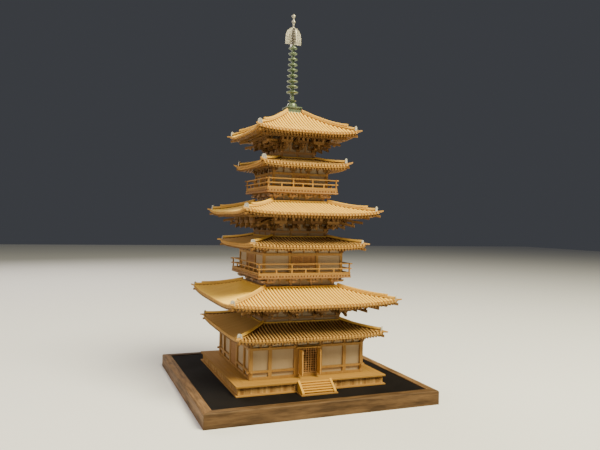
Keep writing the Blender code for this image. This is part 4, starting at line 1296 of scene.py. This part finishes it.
def makeGroundDoors():
    for turn, side in ((90, "right"), (180, "back"), (270, "left")):
        low, high = boxOf(f"closed_doors_{side}")
        doors = joined(closedDoors(doorSizes["half"], low.z, high.z, doorSizes["face"]), f"{side}_doors")
        doors.data.transform(turned(turn))
        finishPiece(doors, doorWood, (f"closed_doors_{side}",))
    for name, turn in (("left", -90), ("right", 90)):
        node = f"front_door_{name}_leaf"
        low, high = boxOf(node)
        leaf = plankLeaf(high.y - low.y, low.z, high.z, 0.0)
        corner = (low.x, high.y, 0) if name == "left" else (high.x, low.y, 0)
        leaf.data.transform(moved(*corner) @ turned(turn))
        leaf.name = f"open_door_{name}"
        finishPiece(leaf, frameWood, (node,), body=f"front_door_{name}")
    print("doors made")


latticeSizes = {"columns": 9, "rows": 11, "bar": 0.54, "rim": 0.8, "rimProud": 0.1}


def makeLattice():
    given = latticeSizes
    low, high = boxOf("doorway_lattice")
    half, rim, front = given["bar"] / 2, given["rim"], low.y - given["rimProud"]
    middle = (low.y + high.y) / 2
    upright = timber((-half, low.y, low.z), (half, middle, high.z), along="Z")
    parts = [inRow(upright, (high.x - low.x) / given["columns"], given["columns"] - 1)]
    for row in range(1, given["rows"]):
        z = low.z + (high.z - low.z) / given["rows"] * row
        parts.append(timber((low.x, middle, z - half), (high.x, high.y, z + half)))
    for x in (low.x, high.x - rim):
        parts.append(timber((x, front, low.z), (x + rim, high.y, high.z), along="Z"))
    for z in (low.z, high.z - rim):
        parts.append(timber((low.x, front, z), (high.x, high.y, z + rim)))
    finishPiece(joined(parts, "doorway_screen"), latticeWood, ("doorway_lattice",))
    over = timber(lintel["low"], lintel["high"], bevel=lintel["bevel"])
    finishPiece(joined([over], "door_lintel"), frameWood)


upperWalls = (
    dict(storey="storey_2", wall=38.2, foot=108.3, top=133.3, doorHalf=10.2, head=124.6, finish=panelWhite),
    dict(storey="storey_3", wall=27.0, foot=184.6, top=206.1, doorHalf=5.4, head=197.4, finish=panelShadeDim),
)
upperDoorSizes = {
    "panelSetback": 0.9, "panel": 0.6, "sill": 1.8, "waist": 0.42, "leafSetback": 0.35, "barPitch": 1.5,
    "bar": 0.35, "barDepth": (0.45, 0.95), "barEnds": (0.6, 0.5), "rails": (0.1, 0.9), "beyond": 0.9,
    "stile": 1.0, "stileFront": 0.05, "leafGap": 0.4, "leafTop": 0.9,
    "sillRail": 0.9, "waistRail": (0.6, 0.5), "headRail": 1.0,
}


def makeUpperWall(storey):
    given, node = upperDoorSizes, f"{storey['storey']}_wall_boards"
    wall, half, head = storey["wall"], storey["doorHalf"], storey["head"]
    panel = mitredBoard(wall - given["panelSetback"], given["panel"], storey["foot"], storey["top"])
    panels = aroundTower([markGrain(panel, "Z")], f"{storey['storey']}_panels")
    finishPiece(panels, storey["finish"], (node,))
    foot = storey["foot"] + given["sill"]
    waist = foot + given["waist"] * (head - foot)
    leafLow, leafHigh = waist + given["leafGap"], head - given["leafTop"]
    front = closedDoors(half, leafLow, leafHigh, wall - given["leafSetback"])
    bars = int(2 * half / given["barPitch"])
    near, far = (-wall + depth for depth in given["barDepth"])
    up, down = given["barEnds"]
    bar = timber((-given["bar"], near, foot + up), (given["bar"], far, waist - down), along="Z")
    front.append(inRow(bar, 2 * half / bars, bars))
    near, far = (-wall + depth for depth in given["rails"])
    reach = half + given["beyond"]
    down, up = given["waistRail"]
    rails = (
        (foot, foot + given["sillRail"]), (waist - down, waist + up), (head - given["headRail"], head),
    )
    for low, high in rails:
        front.append(timber((-reach, near, low), (reach, far, high)))
    for x in (-half - given["stile"], half):
        low, high = (x, -wall + given["stileFront"], foot), (x + given["stile"], far, head)
        front.append(timber(low, high, along="Z"))
    doors = aroundTower(front, f"{storey['storey']}_doors")
    finishPiece(doors, doorWood, (node,))


makeGroundDoors()
makeLattice()
for storey in upperWalls:
    makeUpperWall(storey)
print("walls made")


# Podium: planked sides between corner posts, a mitred deck and the front steps

podiumSizes = {
    "plank": 1.9, "groove": 0.12, "plankDepth": 0.9, "post": 1.8, "postProud": 0.25, "foot": (0.15, 1.0, 0.4),
    "deckInner": 49.0, "edgeShare": 0.42, "seam": 0.08, "bevel": 0.12,
}


def makePodium():
    given = podiumSizes
    low, high = boxOf("podium_body")
    half, post, plank = high.x, given["post"], given["plank"]
    count = oddCount(half - post, plank)
    planks = plankRow(plank, given["groove"], -half, given["plankDepth"], low.z, high.z, count)
    finishPiece(aroundTower([planks], "podium_planks"), plankWood, ("podium_body",))
    outer = half + given["postProud"]
    proud, width, height = given["foot"]
    front = [
        timber((half - post, -outer, low.z), (outer, -half + post, high.z), along="Z"),
        mitredBoard(half + proud, width, low.z, low.z + height),
    ]
    finishPiece(aroundTower(front, "podium_posts"), frameWood, ("podium_body",))
    low, high = boxOf("podium_deck")
    half, inner, share = high.x, given["deckInner"], given["edgeShare"]
    border = half - inner
    rows = ((half, border * share), (half - border * share - given["seam"], border * (1 - share)))
    boards = [
        trimAtHips(timber((-out, -out, low.z), (out, -out + width, high.z), bevel=given["bevel"]))
        for out, width in rows
    ]
    boards.append(trimAtHips(timber((-inner, -inner, low.z), (inner, 0, high.z))))
    finishPiece(aroundTower(boards, "podium_boards"), deckWood, ("podium_deck",))


stepSizes = {
    "count": 5, "cheek": 2.0, "cheekBeyond": 1.4, "cheekDepth": 1.2, "cheekBevel": 0.15,
    "nose": 0.2, "tread": 0.7, "bevel": 0.14, "recess": 0.45, "riserDepth": 0.3,
}


def makeSteps():
    given = stepSizes
    low, high = boxOf("front_steps")
    deckTop = boxOf("podium_deck")[1].z
    back = -high.y
    front = -low.y - given["cheekBeyond"]
    going = (front - back) / given["count"]
    rise = (deckTop - low.z) / given["count"]
    inner = high.x - given["cheek"]
    parts, risers = [], []
    for step in range(given["count"]):
        out = front - going * step
        top = low.z + rise * (step + 1)
        under = top - given["tread"]
        foot = (-inner, -out + given["recess"], low.z)
        risers.append(timber(foot, (inner, -out + going + given["riserDepth"], under)))
        parts.append(timber((-inner, -out - given["nose"], under), (inner, -back, top), bevel=given["bevel"]))
    middle = low.z + given["cheekDepth"] / 2
    for x in (-high.x, inner):
        top = (x + given["cheek"], -back, low.z + given["cheekDepth"])
        cheek = timber((x, low.y, low.z), top, along="Y")
        for vert in cheek.data.vertices:
            if vert.co.z > middle:
                vert.co.z += (deckTop - low.z) * (vert.co.y - low.y) / (-back - low.y)
        bevelEdges(cheek, lambda a, b: min(a.z, b.z) > middle, given["cheekBevel"], 2)
        parts.append(cheek)
    finishPiece(joined(parts, "steps"), stepWood, ("front_steps",))
    # The risers take the darker plank finish: painted shade under the treads' noses.
    finishPiece(joined(risers, "step_risers"), plankWood, ("front_steps",))


makePodium()
makeSteps()
print("podium made")


# Spire: a stepped base, bowl and lotus, nine rings on their shaft, an openwork flame and two jewels

footSizes = {
    "setback": 0.9, "drop": 1.4, "bevel": 0.15, "inset": 0.7, "insetDepth": 0.25,
    "steps": ((0.5, 1.9, 1.2, 0.1), (0.0, 1.2, 0.0, 0.2)),
}
spireSizes = {
    "ringFoot": 270.9, "firstRing": 278.5, "ringPitch": 5.24, "rings": 9, "radii": (5.9, 4.1), "sides": 32,
    "shaft": ((1.9, 0), (1.9, 4.5), (1.5, 7.0)), "shaftTop": 1.4, "shaftSides": 20, "jewelSides": 24,
    "rod": ((0.95, 0.0), (0.95, 0.6), (0.7, 1.2)), "rodNeck": (0.6, 2.5), "rodTop": 0.7, "rodSides": 16,
}
flameSizes = {
    "thickness": 0.45, "lowUp": 0.6, "topDrop": 1.6,
    "side": ((0.3, 0.0), (8.0, -0.2), (7.88, 2.5), (7.72, 6.5)),
    "crownWidth": 6.8, "crownDrop": 7.5, "crownSteps": 8, "ripple": 0.18, "end": (0.6, 0.3),
    "hole": 0.42, "holeStart": 60, "holeSweep": 240, "holePoints": 8,
    "holeTail": ((1.5, -0.55), (2.3, 0.35), (1.2, 0.15)), "holeTurns": (115, 70, 20),
    "holes": (
        (1.7, (1.7, 3.6, 5.5)), (4.2, (2.3, 4.4, 6.4)), (6.7, (1.7, 3.7, 5.7)), (9.2, (2.2, 4.3, 6.0)),
        (11.6, (1.7, 3.7)), (13.6, (1.6,)),
    ),
}
bowlProfile = (
    (5.6, 0.0), (5.6, 0.5), (4.9, 0.9), (4.8, 1.4), (4.75, 2.3), (4.4, 3.2), (3.6, 4.0), (2.4, 4.5),
    (2.2, 5.0), (2.8, 5.5), (4.0, 6.1), (4.3, 6.5), (3.4, 6.7), (2.3, 6.9),
)
ringProfile = (
    (0.4, -1.7), (0.4, -1.5), (0.72, -1.15), (0.93, -0.75), (1.0, -0.3), (1.0, 0.05), (0.94, 0.4), (0.8, 0.8),
    (0.62, 1.15), (0.46, 1.4), (0.4, 1.9),
)
jewelProfile = (
    (0.75, 0.0), (0.75, 0.5), (0.6, 0.9), (1.2, 1.5), (1.75, 2.2), (1.8, 3.0), (1.4, 3.9), (0.7, 4.8),
    (0.5, 5.6), (0.5, 6.3), (1.1, 6.8), (1.75, 7.5), (1.9, 8.3), (1.6, 9.1), (0.9, 10.0), (0.35, 10.6),
    (0.08, 11.0),
)


def turnedPiece(profile, foot, sides):  # drawn up ring by ring from a low cylinder
    (radius, low), (radius, high) = profile[0], profile[1]
    piece = cylinder(sides, radius, high - low, (0, 0, foot + (low + high) / 2))

    def drawUp():
        for (lastRadius, lastHeight), (nextRadius, height) in zip(profile[1:], profile[2:]):
            bpy.ops.mesh.extrude_region_move(TRANSFORM_OT_translate={"value": (0, 0, height - lastHeight)})
            share = nextRadius / lastRadius
            bpy.ops.transform.resize(value=(share, share, 1), center_override=(0, 0, foot + height))

    editWith(piece, "FACE", lambda normal: normal.z > 0.9, drawUp)
    return piece


def scrollHole(x, z, turn):  # a comma: a round head that draws out into a curled tail
    given = flameSizes
    size, turn = given["hole"], math.radians(turn)
    points = []
    for step in range(given["holePoints"]):
        angle = math.radians(given["holeStart"] + given["holeSweep"] * step / (given["holePoints"] - 1))
        points.append((size * math.cos(angle), size * math.sin(angle)))
    points += [(size * across, size * up) for across, up in given["holeTail"]]
    cos, sin = math.cos(turn), math.sin(turn)
    return [(x + across * cos - up * sin, z + across * sin + up * cos) for across, up in points]


def flamePlate(low, high):
    given = flameSizes
    outline = [(across, low + up) for across, up in given["side"]]
    shoulder, start = outline[-1]
    steps, ripple = given["crownSteps"], given["ripple"]
    for step in range(1, steps + 1):
        turn = math.radians(90 * step / steps)
        across = shoulder - given["crownWidth"] * (1 - math.cos(turn)) + ripple * (-1) ** step
        outline.append((across, start + (high - low - given["crownDrop"]) * math.sin(turn)))
    outline += [(across, high) for across in given["end"]]
    holes = []
    rowTurn, placeTurn, moreTurn = given["holeTurns"]
    for number, (up, places) in enumerate(given["holes"]):
        for place, across in enumerate(places):
            turn = rowTurn * (number % 2) + placeTurn * (place % 2) + moreTurn * number
            holes.append(scrollHole(across, low + up, turn))
    curve = bpy.data.curves.new("flame", "CURVE")
    curve.dimensions = "2D"
    curve.fill_mode = "BOTH"
    curve.extrude = given["thickness"] / 2
    for points in [outline] + holes:
        spline = curve.splines.new("POLY")
        spline.points.add(len(points) - 1)
        for point, (across, up) in zip(spline.points, points):
            point.co = (across, up, 0, 1)
        spline.use_cyclic_u = True
    plate = bpy.data.objects.new("flame", curve)
    bpy.context.scene.collection.objects.link(plate)
    pick(plate)
    bpy.ops.object.convert(target="MESH")
    plate = bpy.context.object
    editWith(plate, "ALL", None, lambda: bpy.ops.mesh.remove_doubles(threshold=0.0005))
    plate.rotation_euler = (math.radians(90), 0, 0)
    setPlace(plate)
    return markGrain(plate, "Z")


def makeSpire():
    given = spireSizes
    low, high = boxOf("spire_base")

    def squareStep(setback, lowZ, drop, bevel):
        half = high.x - setback
        return timber((-half, -half, lowZ), (half, half, high.z - drop), bevel=bevel)

    front = [squareStep(footSizes["setback"], low.z, footSizes["drop"], footSizes["bevel"])]
    inset, depth = footSizes["inset"], -footSizes["insetDepth"]
    editWith(
        front[0], "FACE", lambda normal: abs(normal.z) < 0.1 and max(abs(normal.x), abs(normal.y)) > 0.99,
        lambda: bpy.ops.mesh.inset(thickness=inset, depth=depth, use_individual=True),
    )
    for setback, depth, drop, bevel in footSizes["steps"]:
        front.append(squareStep(setback, high.z - depth, drop, bevel))
    finishPiece(joined(front, "spire_foot"), footPatina, ("spire_base",))

    bowlFoot = boxOf("spire_bowl_and_lotus")[0].z
    bowl = markGrain(turnedPiece(bowlProfile, bowlFoot, given["sides"]), "Z")
    finishPiece(joined([bowl], "spire_bowl"), patina, ("spire_bowl_and_lotus",), smooth=40)

    foot, top = given["ringFoot"], boxOf("spire_nine_rings")[1].z
    rings = [turnedPiece((*given["shaft"], (given["shaftTop"], top - foot)), foot, given["shaftSides"])]
    widest, narrowest = given["radii"]
    for number in range(given["rings"]):
        radius = widest + (narrowest - widest) * number / (given["rings"] - 1)
        ring = turnedPiece([(share * radius, z) for share, z in ringProfile], 0.0, given["sides"])
        ring.data.transform(moved(0, 0, given["firstRing"] + given["ringPitch"] * number))
        rings.append(ring)
    rings = joined(rings, "spire_rings")
    finishPiece(markGrain(rings, "Z"), patina, ("spire_nine_rings",), smooth=50)

    low, high = boxOf("spire_flame")
    height = high.z - low.z
    fin = flamePlate(low.z + flameSizes["lowUp"], high.z - flameSizes["topDrop"])
    neck, drop = given["rodNeck"]
    rod = (*given["rod"], (neck, height - drop), (given["rodTop"], height))
    rod = turnedPiece(rod, low.z, given["rodSides"])
    flame = joined([aroundTower([fin], "fins"), markGrain(rod, "Z")], "spire_openwork_flame")
    finishPiece(flame, paleMetal, ("spire_flame",), smooth=40)

    low, high = boxOf("spire_jewels")
    stretch = (high.z - low.z) / jewelProfile[-1][1]
    jewels = [(radius, z * stretch) for radius, z in jewelProfile]
    jewels = joined([markGrain(turnedPiece(jewels, low.z, given["jewelSides"]), "Z")], "spire_two_jewels")
    finishPiece(jewels, paleMetal, ("spire_jewels",), smooth=60)


makeSpire()
print("spire made")


# Finishes of the pieces that keep their solids

def giveFinish(node, material):
    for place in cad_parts[node].material_slots:
        place.material = material


for side in ("front", "right", "back", "left"):
    giveFinish(f"stand_frame_{side}", standWoodX if side in ("front", "back") else litStandWoodY)
    giveFinish(f"ground_frame_{side}", frameWoodZ)
    if side != "front":
        giveFinish(f"wall_boards_{side}", boardWhite)
for node in ("wall_boards_front_left", "wall_boards_front_right", "wall_board_over_door"):
    giveFinish(node, boardWhite)
for storey in (2, 3):
    giveFinish(f"storey_{storey}_floor", railWood)
    giveFinish(f"storey_{storey}_railing", railWood)
    giveFinish(f"storey_{storey}_wall_frame", frameWoodZ)
for number in (1, 2, 3):
    giveFinish(f"tower_wall_{number}", shadeWood)
giveFinish("podium_plinth", railWood)
giveFinish("stand_panel", panelBlack)
print("finishes given")


# Floor, light and camera

floorSettings = {"side": 6.0, "colour": (0.78, 0.79, 0.84), "roughness": 0.7}
lights = (
    {"name": "key", "place": (0.42, -0.74, 1.27), "side": 0.75, "power": 64.0, "colour": (1.0, 0.92, 0.60)},
    {"name": "fill", "place": (-1.15, -0.35, 0.64), "side": 0.9, "power": 6.0, "colour": (1.0, 0.87, 0.77)},
    {"name": "back", "place": (-0.35, 1.15, 0.95), "side": 0.9, "power": 13.0, "colour": (1.0, 0.90, 0.78)},
)
worldLight = {"colour": (0.82, 0.87, 1.0), "strength": 0.06}
aim = Vector((0.0, 0.0, 0.16))
viewSettings = {
    "place": (-0.19756, -0.53262, 0.15543), "yaw": 21.356, "pitch": -0.357, "roll": 1.158,
    "lens": 35.57, "sensor": 36.0, "nearest": 0.01,
}


def makeStage():
    bpy.ops.mesh.primitive_plane_add(size=floorSettings["side"])
    floor = bpy.context.object
    floor.name = "floor"
    material, shader = newMaterial("paleFloor")
    setInputs(shader, {"Base Color": (*floorSettings["colour"], 1), "Roughness": floorSettings["roughness"]})
    floor.data.materials.append(material)
    for light in lights:
        bpy.ops.object.light_add(type="AREA", location=light["place"])
        lamp = bpy.context.object
        lamp.name = light["name"]
        lamp.data.size = light["side"]
        lamp.data.energy = light["power"]
        lamp.data.color = light["colour"]
        lamp.rotation_euler = (aim - lamp.location).to_track_quat("-Z", "Y").to_euler()
    world = bpy.data.worlds.new("studio")
    world.use_nodes = True
    background = world.node_tree.nodes["Background"]
    setInputs(background, {"Color": (*worldLight["colour"], 1), "Strength": worldLight["strength"]})
    bpy.context.scene.world = world


def makeCamera():
    yaw, pitch, roll = (math.radians(viewSettings[name]) for name in ("yaw", "pitch", "roll"))
    ahead = Vector((math.sin(yaw) * math.cos(pitch), math.cos(yaw) * math.cos(pitch), math.sin(pitch)))
    level = Vector((math.cos(yaw), -math.sin(yaw), 0))
    upright = level.cross(ahead)
    right = math.cos(roll) * level + math.sin(roll) * upright
    up = -math.sin(roll) * level + math.cos(roll) * upright
    bpy.ops.object.camera_add(location=viewSettings["place"])
    camera = bpy.context.object
    camera.rotation_euler = Matrix((right, up, -ahead)).transposed().to_euler()
    camera.data.lens = viewSettings["lens"]
    camera.data.sensor_width = viewSettings["sensor"]
    camera.data.clip_start = viewSettings["nearest"]
    bpy.context.scene.camera = camera


makeStage()
makeCamera()
print("done")
